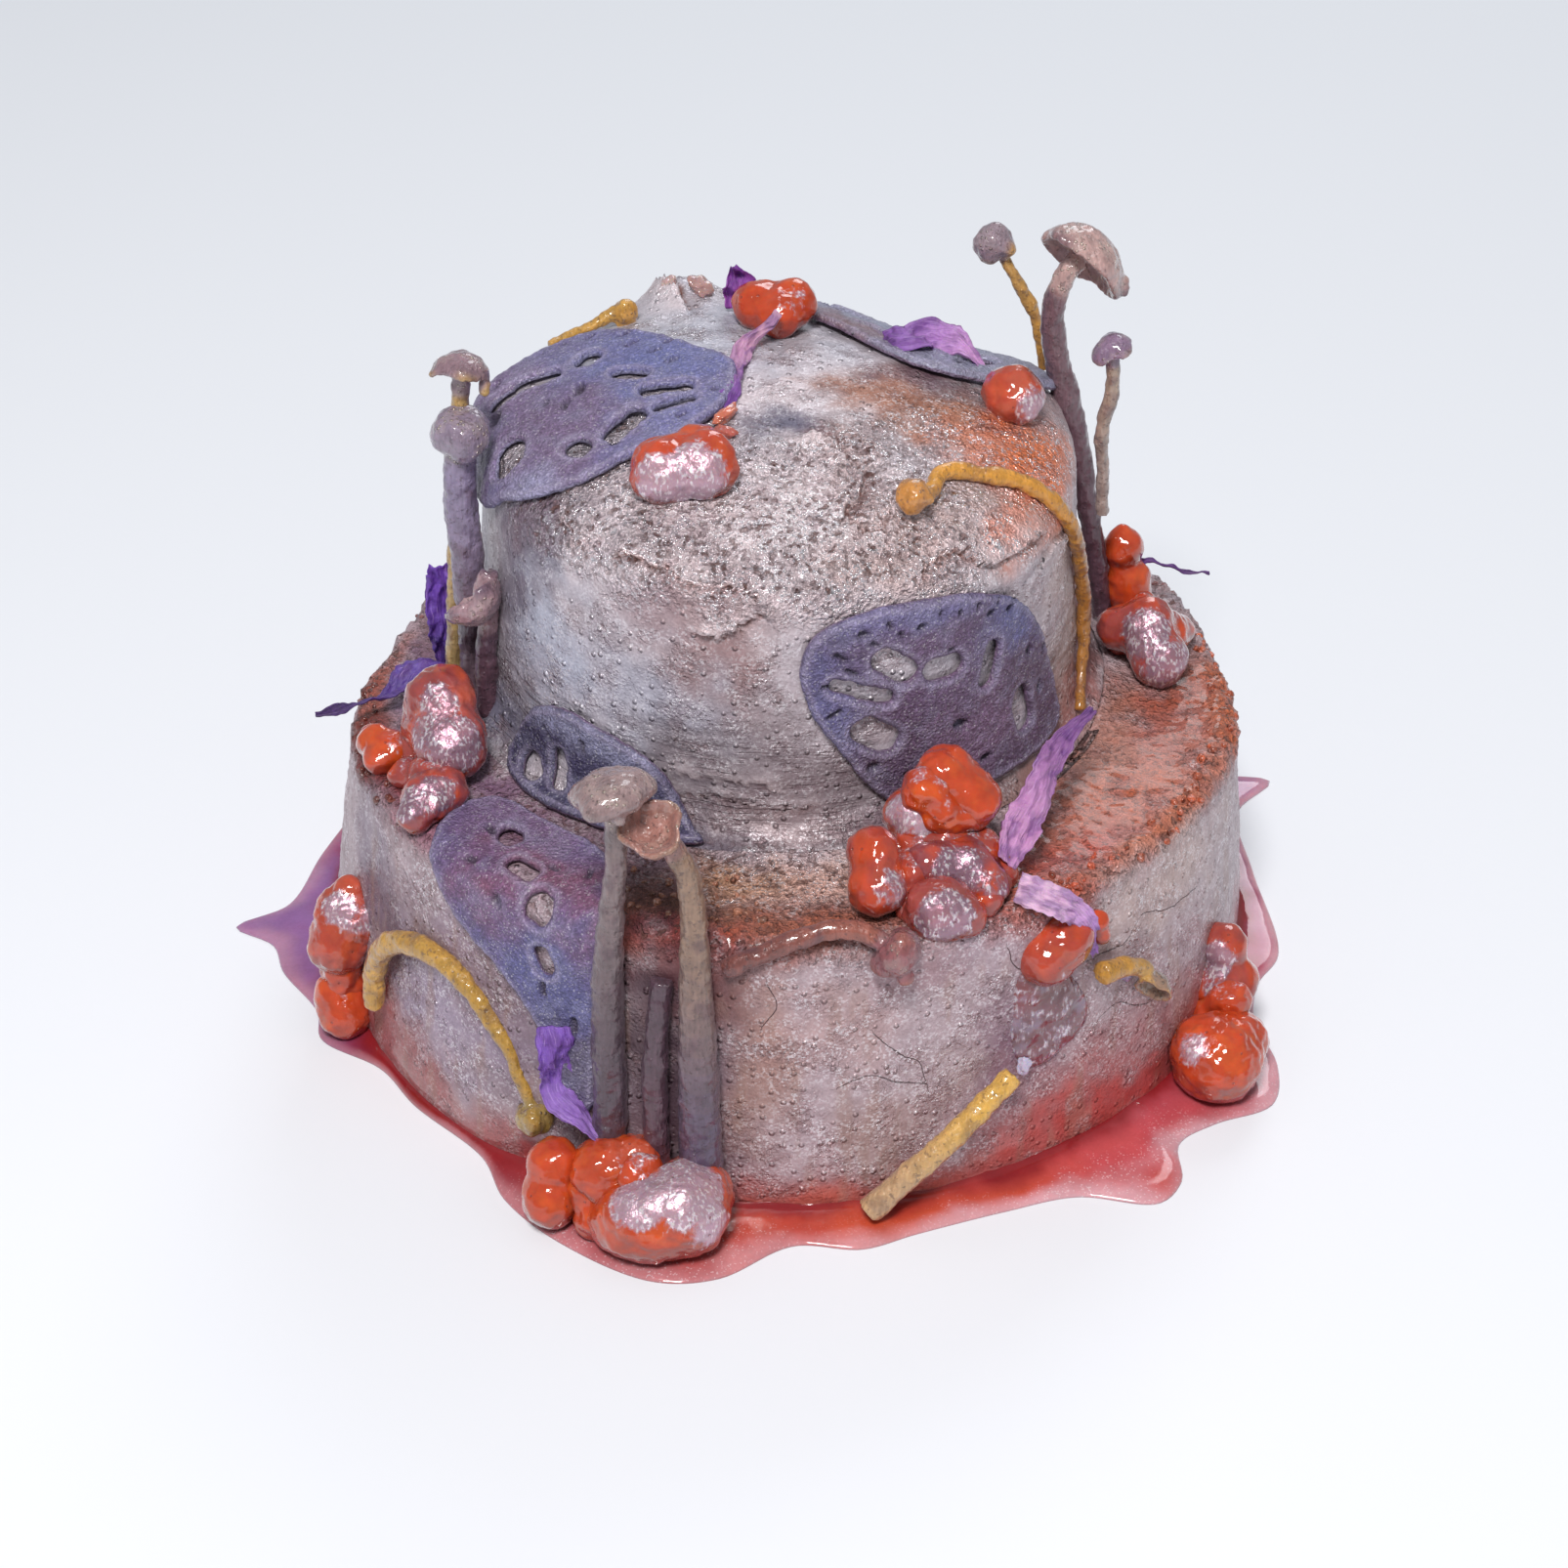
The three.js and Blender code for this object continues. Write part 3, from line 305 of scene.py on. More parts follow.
def normals_of(mesh):
    found = np.empty(len(mesh.vertices) * 3)
    mesh.vertices.foreach_get("normal", found)
    return found.reshape(-1, 3)


def move_points(mesh, points):
    mesh.vertices.foreach_set("co", (points * MM).ravel())
    mesh.update()


def paint(mesh, colours, **shares):
    """Stores a colour and other shares of a finish on the points of a mesh."""
    rgba = np.ones((len(mesh.vertices), 4))
    rgba[:, :3] = np.clip(colours, 0, 1)
    mesh.color_attributes.new(name="tint", type="FLOAT_COLOR", domain="POINT")
    mesh.color_attributes["tint"].data.foreach_set("color", rgba.ravel())
    for name, values in shares.items():
        mesh.attributes.new(name=name, type="FLOAT", domain="POINT")
        mesh.attributes[name].data.foreach_set("value", np.asarray(values, float))


def piece(name, mesh, finish, slot, *nodes):
    """Puts a finished mesh on the cake, in the place of the solids that it stands for."""
    made = bpy.data.objects.new(name, mesh)
    bpy.context.scene.collection.objects.link(made)
    mesh.materials.append(finish)
    mesh.shade_smooth()
    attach(made, "root")
    if nodes:
        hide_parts(*nodes)
    return made


def blended(colours, colour, share):
    """Colours mixed with one more colour, by a share for each point."""
    return colours + (np.array(colour) - colours) * np.clip(share, 0, 1)[:, None]


def dabbed(colours, azimuth, run, dabs, points):
    """Colours with soft dabs of paint, whose edges wander round and down the cake."""
    drift = 0.55 * fractal(points, 9, 3, seed=5)
    creep = 0.55 * fractal(points, 7, 3, seed=8)
    for at, at_run, width, length, colour, strength in dabs:
        turn = wrapped(azimuth - at) / width + drift
        down = (run - at_run) / length + creep
        colours = blended(colours, colour, strength * np.exp(-(turn**2 + down**2) ** 1.5))
    return colours


# --- Finishes --------------------------------------------------------------------------------------

class Socket:
    """An output of a shader node. Arithmetic on it adds Math nodes."""

    def __init__(self, finish, output):
        self.finish = finish
        self.output = output

    def maths(self, operation, *values):
        return self.finish.node("ShaderNodeMath", {"operation": operation}, dict(enumerate(values)))

    def __add__(self, other):
        return self.maths("ADD", self, other)

    def __sub__(self, other):
        return self.maths("SUBTRACT", self, other)

    def __rsub__(self, other):
        return self.maths("SUBTRACT", other, self)

    def __mul__(self, other):
        return self.maths("MULTIPLY", self, other)

    __radd__ = __add__
    __rmul__ = __mul__

    def above(self, low, high):
        """0 below low, 1 above high, and smooth between them."""
        return self.finish.node(
            "ShaderNodeMapRange", {"interpolation_type": "SMOOTHSTEP"}, {0: self, 1: low, 2: high})


class Finish:
    """A material of one Principled shader and the nodes that feed it."""

    def __init__(self, name, **constants):
        self.material = bpy.data.materials.new(name)
        self.material.use_nodes = True
        self.tree = self.material.node_tree
        self.shader = self.tree.nodes["Principled BSDF"]
        for socket, value in constants.items():
            self.shader.inputs[socket.replace("_", " ")].default_value = value
        self.position = self.node("ShaderNodeTexCoord", output="Object")
        self.tint = self.node("ShaderNodeAttribute", {"attribute_name": "tint"}, output="Color")

    def node(self, kind, settings=None, values=None, output=0):
        """Adds a node, with its settings first and then the values or links of its sockets."""
        made = self.tree.nodes.new(kind)
        for key, value in (settings or {}).items():
            setattr(made, key, value)
        for key, value in (values or {}).items():
            self.feed(made.inputs[key], value)
        return Socket(self, made.outputs[output])

    def feed(self, socket, value):
        if isinstance(value, Socket):
            self.tree.links.new(value.output, socket)
        else:
            socket.default_value = value

    def share(self, name):
        """A share that is stored on the points of the mesh."""
        return self.node("ShaderNodeAttribute", {"attribute_name": name}, output="Fac")

    def noise(self, size, detail=2.0, stretch=(1, 1, 1)):
        """Noise whose swells are size millimetres across."""
        place = self.node(
            "ShaderNodeMapping", {}, {"Vector": self.position, "Scale": [1 / s for s in stretch]})
        return self.node(
            "ShaderNodeTexNoise", {}, {"Vector": place, "Scale": 1 / (size * MM), "Detail": detail})

    def cells(self, size, output="Distance"):
        """How far a point is from the middle of its cell, where cells are size millimetres across."""
        return self.node(
            "ShaderNodeTexVoronoi", {}, {"Vector": self.position, "Scale": 1 / (size * MM)}, output)

    def draws(self, size):
        """A random number for each of the same cells."""
        return self.node("ShaderNodeSeparateColor", {}, {0: self.cells(size, "Color")})

    def mixed(self, share, first, second):
        """The first colour, or the second where the share is one."""
        return self.node("ShaderNodeMix", {"data_type": "RGBA"}, {0: share, 6: first, 7: second}, output=2)

    def lit(self, colour, factor):
        """A colour made brighter or darker."""
        return self.node("ShaderNodeVectorMath", {"operation": "SCALE"}, {0: colour, "Scale": factor})

    def bumped(self, height, depth):
        """A normal that follows a height of one, which stands depth millimetres high."""
        return self.node("ShaderNodeBump", {}, {"Height": height, "Distance": depth * MM})

    def done(self, **inputs):
        """Feeds the shader, and gives the material."""
        for socket, value in inputs.items():
            self.feed(self.shader.inputs[socket.replace("_", " ")], value)
        return self.material


# Colours that the finishes mix in
# White of pearl dust: dust specks on the syrup, and painted glints on the frosting, the slices and the jelly
PEARL_SPECK_AND_GLINT = (0.96, 0.93, 0.97, 1)
# Dark brown of painted shade in the frosting's crevices and pits
CREVICE_SHADE_BROWN = (0.17, 0.075, 0.06, 1)
LINE_SHADE = (0.16, 0.1, 0.12, 1)
CRACK_SHADE = (0.05, 0.03, 0.035, 1)
SLICE_VEIL = (0.5, 0.5, 0.7, 1)
JELLY_VEIL = (0.6, 0.5, 0.62, 1)
BERRY_VEIL = (0.27, 0.16, 0.23, 1)
BUBBLE_SHADE = (0.22, 0.05, 0.04, 1)
# Lilac grey of a painted sheen where the mushrooms' coat turns away at grazing angles
COAT_GRAZING_SHEEN = (0.42, 0.34, 0.4, 1)
# Cream of patches on the mushroom caps, and of painted highlights on their bubbles
COAT_CREAM_AND_HIGHLIGHT = (0.85, 0.72, 0.6, 1)
COAT_SPECK = (0.06, 0.035, 0.04, 1)
VEIN_VIOLET = (0.6, 0.42, 0.72, 1)


def frosting_finish():
    """Frosting under pearly dust, with a wet glaze where the jelly ran, painted glints on its raised flecks,
    and painted shade in its crevices and pits.
    """
    finish = Finish("frosting", Coat_Roughness=0.1)
    rough = finish.share("rough")
    wet = finish.share("wet")
    pearl = finish.share("pearl")
    grain = finish.noise(0.55, 4).above(0.3, 0.7)
    blotch = finish.noise(2.8, 3)
    raised = finish.noise(1.2, 3).above(0.36, 0.46)
    line = finish.noise(0.75, 2, (12, 12, 1)).above(0.5, 0.57) * finish.share("trowel")
    pit = finish.draws(1.3).above(0.72, 0.76) * (1 - finish.cells(1.3).above(0.1, 0.24))
    pit = pit * (0.3 + 0.7 * rough)
    crevice_shade = (1 - raised) * rough * (0.3 + 0.7 * blotch.above(0.36, 0.58))
    pimple = finish.draws(1.7).above(0.56, 0.6) * (1 - finish.cells(1.7).above(0.1, 0.36))
    wander = (finish.noise(1.8, 3) - 0.5) * 0.9
    off_crack = finish.node("ShaderNodeMath", {"operation": "ABSOLUTE"}, {0: finish.share("crack") + wander})
    crack = (1 - off_crack.above(0.02, 0.14)) * finish.share("cracked")
    glint = finish.draws(0.34).above(0.56, 0.8) * pearl * raised * blotch.above(0.36, 0.54)
    colour = finish.lit(finish.tint, 0.74 + (0.17 + 0.55 * rough) * grain + 0.36 * blotch)
    # Painted shade, dark brown, in the crevices between raised flecks and in the pits
    colour = finish.mixed(crevice_shade * 0.84 + pit * 0.6, colour, CREVICE_SHADE_BROWN)
    colour = finish.mixed(line * 0.5, colour, LINE_SHADE)
    colour = finish.mixed(crack * 0.85, colour, CRACK_SHADE)
    # Painted glints: white sparkles on the raised flecks where the pearl dust lies
    colour = finish.mixed(glint * 0.9, colour, PEARL_SPECK_AND_GLINT)
    height = grain * (0.12 + 0.8 * rough) + raised * rough * 1.5 + pimple - pit - crack - 0.5 * line
    return finish.done(
        Base_Color=colour,
        Metallic=pearl * 0.66 + glint * 0.3,
        Roughness=0.44 - 0.12 * pearl - 0.2 * glint,
        Coat_Weight=wet,
        Normal=finish.bumped(height, 0.5),
    )


def lotus_finish():
    """Cooked root slice with a veil of pearly dust, and painted glints."""
    finish = Finish("lotus root", Coat_Weight=0.15, Coat_Roughness=0.25)
    veil = finish.noise(3.4, 4).above(0.42, 0.72)
    grain = finish.noise(0.5, 4).above(0.3, 0.7)
    glint = finish.draws(0.26).above(0.9, 0.96)
    colour = finish.lit(finish.tint, 0.34 + 0.5 * grain + 0.62 * finish.noise(1.7, 3))
    colour = finish.mixed(veil * 0.2, colour, SLICE_VEIL)
    # Painted glints: sparse white sparkles
    colour = finish.mixed(glint * 0.26, colour, PEARL_SPECK_AND_GLINT)
    return finish.done(
        Base_Color=colour,
        Metallic=0.3 * veil + 0.2 * glint,
        Roughness=0.44 - 0.12 * veil,
        Normal=finish.bumped(grain + 0.8 * finish.noise(1.1, 2), 0.26),
    )


def jelly_finish():
    """Clear orange jelly, with a pearly veil where it is dusted, pale or brown-mauve, and painted glints
    streaked through the dust.
    """
    finish = Finish("jelly", Subsurface_Weight=0.28, Subsurface_Radius=(1.0, 0.16, 0.05),
                    Subsurface_Scale=0.003, IOR=1.42, Coat_Roughness=0.03)
    dust = finish.share("dust")
    streak = finish.noise(0.55, 3, (1, 1, 2.4))
    cloud = finish.noise(2.2, 3)
    cover = (dust + 0.9 * (cloud - 0.5) + 0.5 * (streak - 0.5)).above(0.32, 0.68)
    glint = streak.above(0.5, 0.6) * cloud.above(0.38, 0.56) * cover
    bubble = finish.draws(1.5).above(0.84, 0.87) * (1 - finish.cells(1.5).above(0.1, 0.2))
    colour = finish.lit(finish.tint, 0.5 + 0.7 * finish.noise(3.1, 2))
    veil = finish.mixed(finish.share("berry"), JELLY_VEIL, BERRY_VEIL)
    colour = finish.mixed(cover * 0.7, colour, veil)
    # Painted glints: white streaks through the dust
    colour = finish.mixed(glint * 0.6, colour, PEARL_SPECK_AND_GLINT)
    colour = finish.mixed(bubble * 0.5, colour, BUBBLE_SHADE)
    return finish.done(
        Base_Color=colour,
        Metallic=cover * 0.5,
        Roughness=0.1 + 0.26 * cover,
        Coat_Weight=0.9 - 0.5 * cover,
        Normal=finish.bumped(streak * cover * 0.7 + finish.noise(1.7, 2) * 1.1 - bubble, 0.22),
    )


def mushroom_finish(name, cream_highlight_share):
    """Mushroom in a wet coat with small bubbles, a painted sheen at grazing angles, and cream patches on the
    crown whose bubbles carry painted highlights.
    """
    finish = Finish(name, Subsurface_Weight=0.2, Subsurface_Radius=(1.0, 0.6, 0.5),
                    Subsurface_Scale=0.0015, IOR=1.4, Coat_Roughness=0.05)
    crown = finish.share("crown")
    fibre = finish.noise(0.55, 3, (1, 1, 7))
    cloud = finish.noise(2.2, 3)
    bubble = finish.draws(0.8).above(0.36, 0.42) * (1 - finish.cells(0.8).above(0.16, 0.42))
    patch = finish.noise(3.6, 2).above(0.5, 0.6) * crown
    facing = finish.node("ShaderNodeLayerWeight", {}, {"Blend": 0.35}, output="Facing")
    colour = finish.lit(finish.tint, 0.2 + 0.74 * fibre + 0.7 * cloud)
    # Painted sheen: lilac grey where the surface turns away from the view
    colour = finish.mixed(facing.above(0.25, 1.0) * 0.25, colour, COAT_GRAZING_SHEEN)
    # Cream patches on the crown, with painted highlights on their bubbles
    colour = finish.mixed((0.12 + 0.8 * bubble) * patch * cream_highlight_share, colour, COAT_CREAM_AND_HIGHLIGHT)
    colour = finish.mixed(finish.noise(0.9, 2).above(0.6, 0.68) * 0.5, colour, COAT_SPECK)
    height = fibre * 0.8 + cloud + bubble * (0.3 + patch)
    return finish.done(
        Base_Color=colour,
        Metallic=patch * bubble * 0.3,
        Roughness=0.28 - 0.12 * patch,
        Coat_Weight=0.62 + 0.38 * crown,
        Normal=finish.bumped(height, 0.3),
    )


def petal_finish():
    """Dried petal with lengthwise veins."""
    finish = Finish("dried petal", Subsurface_Weight=0.25, Subsurface_Radius=(0.6, 0.3, 1.0),
                    Subsurface_Scale=0.001)
    uv = finish.node("ShaderNodeUVMap", {"uv_map": "ribbon"})
    stretched = finish.node("ShaderNodeMapping", {}, {"Vector": uv, "Scale": (1.4, 0.13, 1)})
    vein = finish.node("ShaderNodeTexNoise", {}, {"Vector": stretched, "Scale": 1.9, "Detail": 3})
    mottle = finish.noise(2.1, 3)
    colour = finish.lit(finish.tint, 0.3 + 0.85 * vein + 0.65 * mottle)
    colour = finish.mixed(vein.above(0.58, 0.7) * 0.35, colour, VEIN_VIOLET)
    return finish.done(
        Base_Color=colour,
        Roughness=0.6 - 0.1 * mottle,
        Normal=finish.bumped(vein + 0.6 * finish.noise(0.8, 2), 0.4),
    )


def syrup_finish():
    """Still syrup, clear and glossy, with pearl dust near its edge."""
    finish = Finish("syrup", Subsurface_Weight=0.3, Subsurface_Radius=(1.0, 0.25, 0.25),
                    Subsurface_Scale=0.0025, IOR=1.42, Coat_Roughness=0.02)
    dust = finish.share("dust")
    speck = finish.draws(0.24).above(0.9, 0.96) * dust
    colour = finish.lit(finish.tint, 0.66 + 0.5 * finish.noise(6.5, 3) + 0.2 * finish.noise(0.6, 2))
    colour = finish.mixed(speck * 0.3, colour, PEARL_SPECK_AND_GLINT)
    return finish.done(
        Base_Color=colour,
        Roughness=0.06 + 0.2 * speck,
        Coat_Weight=0.35,
        Normal=finish.bumped(finish.noise(5.2, 2), 0.12),
    )


FINISHES = {
    "frosting": frosting_finish(),
    "lotus": lotus_finish(),
    "jelly": jelly_finish(),
    "lilac": mushroom_finish("lilac mushroom", 0.8),
    "golden": mushroom_finish("golden mushroom", 0.3),
    "petal": petal_finish(),
    "syrup": syrup_finish(),
}


# --- Frosted tiers ---------------------------------------------------------------------------------

SILVER = (0.5, 0.44, 0.48)
GREY_BLUE = (0.42, 0.44, 0.54)
BRONZE = (0.33, 0.14, 0.09)
CORAL = (0.82, 0.24, 0.11)
RUST = (0.33, 0.055, 0.025)
BROWN = (0.16, 0.05, 0.03)
MAUVE = (0.21, 0.1, 0.2)
PLUM = (0.11, 0.055, 0.085)
SLATE = (0.14, 0.13, 0.19)
ROSE = (0.37, 0.24, 0.26)
WHITE = (0.84, 0.7, 0.72)
WALL = (0.43, 0.325, 0.355)

# Colours dabbed on the frosting: azimuth, run, half width, half length, colour, strength
UPPER_DABS = [
    # The white dabs across the front of the shoulder, at azimuths -100 to -62, are partly painted highlight
    # where the key light is reflected
    (125, 22, 70, 22, (0.47, 0.48, 0.56), 0.8), (-100, 8, 90, 9, WHITE, 0.45),
    (-84, 15, 24, 6, (0.07, 0.065, 0.12), 0.95), (-110, 15, 18, 4, SLATE, 0.5),
    (-62, 22, 18, 6, BRONZE, 0.5), (-4, 19, 30, 13, (0.34, 0.13, 0.07), 0.95),
    (-14, 32, 18, 10, (0.38, 0.15, 0.08), 0.9), (18, 25, 14, 9, PLUM, 0.85),
    (-14, 46, 19, 11, (0.95, 0.26, 0.1), 1.0), (-24, 37, 12, 8, (0.72, 0.25, 0.14), 0.85),
    (-36, 51, 9, 6, CORAL, 0.8), (-95, 43, 48, 14, WHITE, 0.95), (-62, 55, 22, 4, WHITE, 0.7),
    (-90, 31, 40, 9, WHITE, 0.75), (-66, 33, 9, 8, BROWN, 0.5), (-60, 47, 16, 6, (0.5, 0.27, 0.2), 0.5),
    # The plum dab at azimuth -146 and run 57 is painted shade along the tier's left edge
    (-112, 27, 20, 6, (0.4, 0.36, 0.42), 0.5), (-146, 57, 11, 14, PLUM, 0.9),
    (-150, 72, 10, 16, SLATE, 0.7), (-136, 74, 12, 15, GREY_BLUE, 0.85), (-112, 58, 9, 5, ROSE, 0.7),
    (-101, 64, 11, 12, (0.3, 0.17, 0.17), 0.85), (-96, 77, 14, 8, (0.33, 0.25, 0.27), 0.7),
    (-112, 76, 12, 10, GREY_BLUE, 0.6), (-98, 90, 22, 9, (0.13, 0.1, 0.12), 0.95),
    (-100, 84, 18, 8, (0.17, 0.14, 0.16), 0.6), (-84, 88, 14, 9, (0.2, 0.15, 0.17), 0.8),
    (-84, 97, 22, 4, (0.34, 0.25, 0.26), 0.7), (-22, 64, 9, 8, (0.42, 0.29, 0.25), 0.7),
    (-18, 82, 10, 14, (0.44, 0.35, 0.33), 0.85), (-12, 95, 22, 7, RUST, 0.7),
    (-40, 99, 22, 4, BROWN, 0.85), (-66, 97, 10, 5, PLUM, 0.8), (-152, 93, 14, 7, SLATE, 0.95),
    (-104, 99, 7, 4, (0.03, 0.02, 0.05), 1.0), (60, 78, 26, 18, GREY_BLUE, 0.5),
    (120, 84, 20, 12, ROSE, 0.6), (172, 76, 16, 18, SLATE, 0.6), (20, 70, 16, 16, BRONZE, 0.6),
    (90, 97, 70, 5, PLUM, 0.6), (40, 50, 20, 7, (0.5, 0.24, 0.16), 0.5),
]
LOWER_DABS = [
    # The white dab at azimuth -86 and run 103.5 is partly painted highlight along the seam under the upper
    # tier
    (-86, 103.5, 20, 4, WHITE, 0.9), (-88, 109, 20, 7, (0.72, 0.44, 0.36), 0.9),
    (-104, 103, 5, 4, PLUM, 0.9), (-97, 118, 14, 6, (0.2, 0.06, 0.02), 0.9),
    (-106, 114, 8, 9, (0.16, 0.06, 0.03), 0.95), (-101, 122, 10, 3, (0.4, 0.05, 0.02), 0.95),
    (-98, 108, 8, 5, (0.4, 0.2, 0.1), 0.8), (-86, 119, 10, 4, (0.36, 0.1, 0.05), 0.9),
    (-72, 118, 12, 6, (0.26, 0.07, 0.04), 0.85), (-66, 104, 10, 5, (0.3, 0.12, 0.08), 0.8),
    (-52, 115, 12, 9, (0.42, 0.05, 0.02), 0.95), (-40, 107, 12, 7, (0.4, 0.1, 0.05), 0.9),
    (-27, 112, 15, 8, (0.42, 0.08, 0.02), 0.95), (-18, 104, 18, 5, (0.36, 0.13, 0.08), 0.85),
    (-6, 114, 12, 9, (0.36, 0.06, 0.015), 0.95), (16, 112, 16, 10, (0.26, 0.09, 0.06), 0.85),
    (-60, 121, 7, 4, (0.5, 0.1, 0.05), 0.9), (-34, 121, 18, 3.2, (0.5, 0.12, 0.04), 0.95),
    (-8, 121, 14, 3.4, (0.45, 0.1, 0.03), 0.95), (-150, 106, 22, 8, (0.17, 0.08, 0.16), 0.95),
    (-126, 110, 15, 10, (0.17, 0.08, 0.14), 0.9), (-114, 104, 10, 6, PLUM, 0.7),
    (-178, 109, 17, 9, (0.17, 0.08, 0.19), 0.95), (162, 112, 22, 10, (0.16, 0.08, 0.1), 0.85),
    (-150, 118, 14, 5, (0.3, 0.09, 0.1), 0.8), (-156, 120, 16, 5, (0.15, 0.012, 0.005), 1.0),
    (-174, 121, 12, 3.4, (0.3, 0.06, 0.03), 0.9), (-140, 121, 8, 3, (0.3, 0.13, 0.2), 0.7),
    (-152, 136, 6, 12, (0.22, 0.17, 0.24), 0.7), (-147, 145, 7, 10, PLUM, 0.9),
    (-132, 138, 8, 9, (0.28, 0.2, 0.27), 0.8), (-122, 150, 7, 14, (0.12, 0.07, 0.11), 0.75),
    (-136, 153, 12, 10, (0.32, 0.25, 0.35), 0.8), (-101, 127, 6, 8, (0.24, 0.03, 0.015), 0.95),
    # The dark narrow dabs at azimuth -103.5 and run 148, and at azimuths -96 and -112 further down, are
    # painted shade beside and between the front mushroom stems
    (-103.5, 148, 7, 30, (0.05, 0.022, 0.035), 0.97), (-96.5, 131, 4, 8, (0.14, 0.05, 0.05), 0.9),
    (-96, 156, 3, 18, (0.17, 0.1, 0.13), 0.85), (-112, 160, 5, 16, (0.15, 0.1, 0.14), 0.7),
    (-92, 140, 3.4, 14, (0.34, 0.17, 0.13), 0.75), (-94, 156, 3, 10, (0.33, 0.18, 0.14), 0.6),
    (-84, 138, 7, 9, (0.48, 0.3, 0.29), 0.6), (-79, 160, 6, 8, (0.33, 0.19, 0.17), 0.5),
    (-75, 128, 7, 4, (0.3, 0.15, 0.17), 0.6), (-61, 146, 6, 14, (0.19, 0.09, 0.14), 0.9),
    (-66, 126, 7, 4, (0.4, 0.3, 0.36), 0.5), (-50, 160, 16, 9, (0.32, 0.15, 0.16), 0.6),
    (-36, 131, 15, 9, (0.54, 0.4, 0.37), 0.8), (-22, 142, 10, 14, (0.46, 0.37, 0.4), 0.7),
    (60, 112, 26, 9, BRONZE, 0.7), (110, 112, 26, 9, MAUVE, 0.7), (40, 140, 22, 18, GREY_BLUE, 0.5),
    (100, 150, 26, 18, ROSE, 0.6), (160, 145, 22, 18, (0.3, 0.22, 0.3), 0.6),
]
FOOT_DABS = [
    (-146, 171, 16, 11, (0.3, 0.07, 0.07), 0.95), (-124, 174, 16, 7, (0.3, 0.05, 0.05), 0.95),
    (-100, 176, 22, 6, (0.36, 0.05, 0.04), 0.9), (-78, 175, 20, 6, (0.42, 0.07, 0.04), 0.85),
    (-48, 172, 22, 12, (0.42, 0.05, 0.04), 1.0), (-20, 172, 20, 11, (0.4, 0.06, 0.06), 0.9),
    (-172, 170, 14, 13, MAUVE, 0.9), (30, 175, 40, 7, (0.3, 0.08, 0.12), 0.7),
    (110, 176, 50, 6, MAUVE, 0.7),
]

# Torn edges in the frosting: points (azimuth, run), height. The frosting stands on their left, or on
# their right where the height is negative.
TEARS = [
    ([(-122, 51), (-112, 50.5), (-106, 52), (-98, 52), (-94, 52.5), (-92, 55)], 0.9),
    ([(-92, 55), (-95, 57), (-97, 58.5), (-100, 60), (-103, 60)], -0.8),
    ([(-84, 52), (-88, 52.5), (-92, 55)], 0.5),
    ([(-74, 19), (-66, 20), (-65, 26), (-64, 31), (-70, 36), (-74, 40), (-71, 43), (-64, 42)], -0.9),
    ([(-62, 52), (-59, 50), (-54, 48.5), (-49, 52), (-46, 54), (-40, 54), (-31, 54)], 0.9),
    ([(120, 36), (119, 42), (121, 50)], 1.4),
    ([(-140, 48), (-132, 52), (-126, 50)], 0.5),
    ([(-20, 60), (-26, 58), (-33, 60)], 0.6),
    ([(-110, 92), (-100, 91), (-90, 92.5), (-84, 92)], 0.35),
    ([(-108, 88), (-98, 87.5), (-90, 88.5)], 0.3),
    ([(60, 58), (80, 55), (104, 59), (130, 56), (150, 60)], 0.8),
]
# How high a torn edge stands and how deep it dips beside that, in shares of its height, and how far
# each reaches
TEAR_CREST = 1.4
TEAR_DIP = 0.8
CREST_REACH = 2.6
DIP_REACH = 0.9
# The upper tier's frosting ends in a skirt that hides the seam between the tiers
SKIRT_RUN = SEAT_RUN + 1
SKIRT_DIP = 0.8
# Hairline cracks
CRACKS = [
    [(-80, 139), (-78, 142.5), (-76, 145), (-74.5, 146.5), (-73.5, 152)],
    [(-84, 149), (-80, 147.5), (-78, 149), (-73.5, 151.5)],
    [(-51, 136.5), (-45.5, 137), (-43, 134), (-38, 136.5), (-31, 138)],
    [(-51, 151), (-47.5, 148.5), (-43.5, 152), (-38, 153.5)],
    [(-92, 128), (-91, 132), (-92.5, 136)],
    [(-64, 127), (-63, 131), (-60, 134)],
    [(-140, 132), (-137, 136), (-135, 143)],
    [(60, 130), (64, 138), (60, 146)],
    [(110, 128), (106, 136), (109, 142)],
    [(170, 130), (165, 138), (168, 150)],
]
# Distance beyond which a crack isn't felt
CRACK_REACH = 9.0
# Runs where a zone of the frosting fades in, and where it fades out
SHOULDER_RUNS = (12, 28, 50, 60)
LEDGE_RUNS = (97, 103, 121, 126)
TROWEL_RUNS = (66, 80, 98, 101)
LINE_RUNS = (76, 88, 98, 101)
RIM_HALF_WIDTH = 3.2
# Points down and round each tier's outside
UPPER_ROWS = 168
UPPER_STEPS = 560
LOWER_ROWS = 116
LOWER_STEPS = 720


def beside(plane, line):
    """The distance of points of the mapped plane from a line, positive on its left."""
    path = curve_through([mapped(*point) for point in line], spans=5)
    nearest = np.full(len(plane), np.inf)
    side = np.ones(len(plane))
    for start, end in zip(path, path[1:]):
        step = end - start
        offset = plane - start
        share = np.clip(offset @ step / (step @ step), 0, 1)
        away = offset - share[:, None] * step
        distance = np.hypot(away[:, 0], away[:, 1])
        closer = distance < nearest
        nearest = np.where(closer, distance, nearest)
        side = np.where(closer, np.where(step[0] * offset[:, 1] < step[1] * offset[:, 0], -1, 1), side)
    return side * nearest


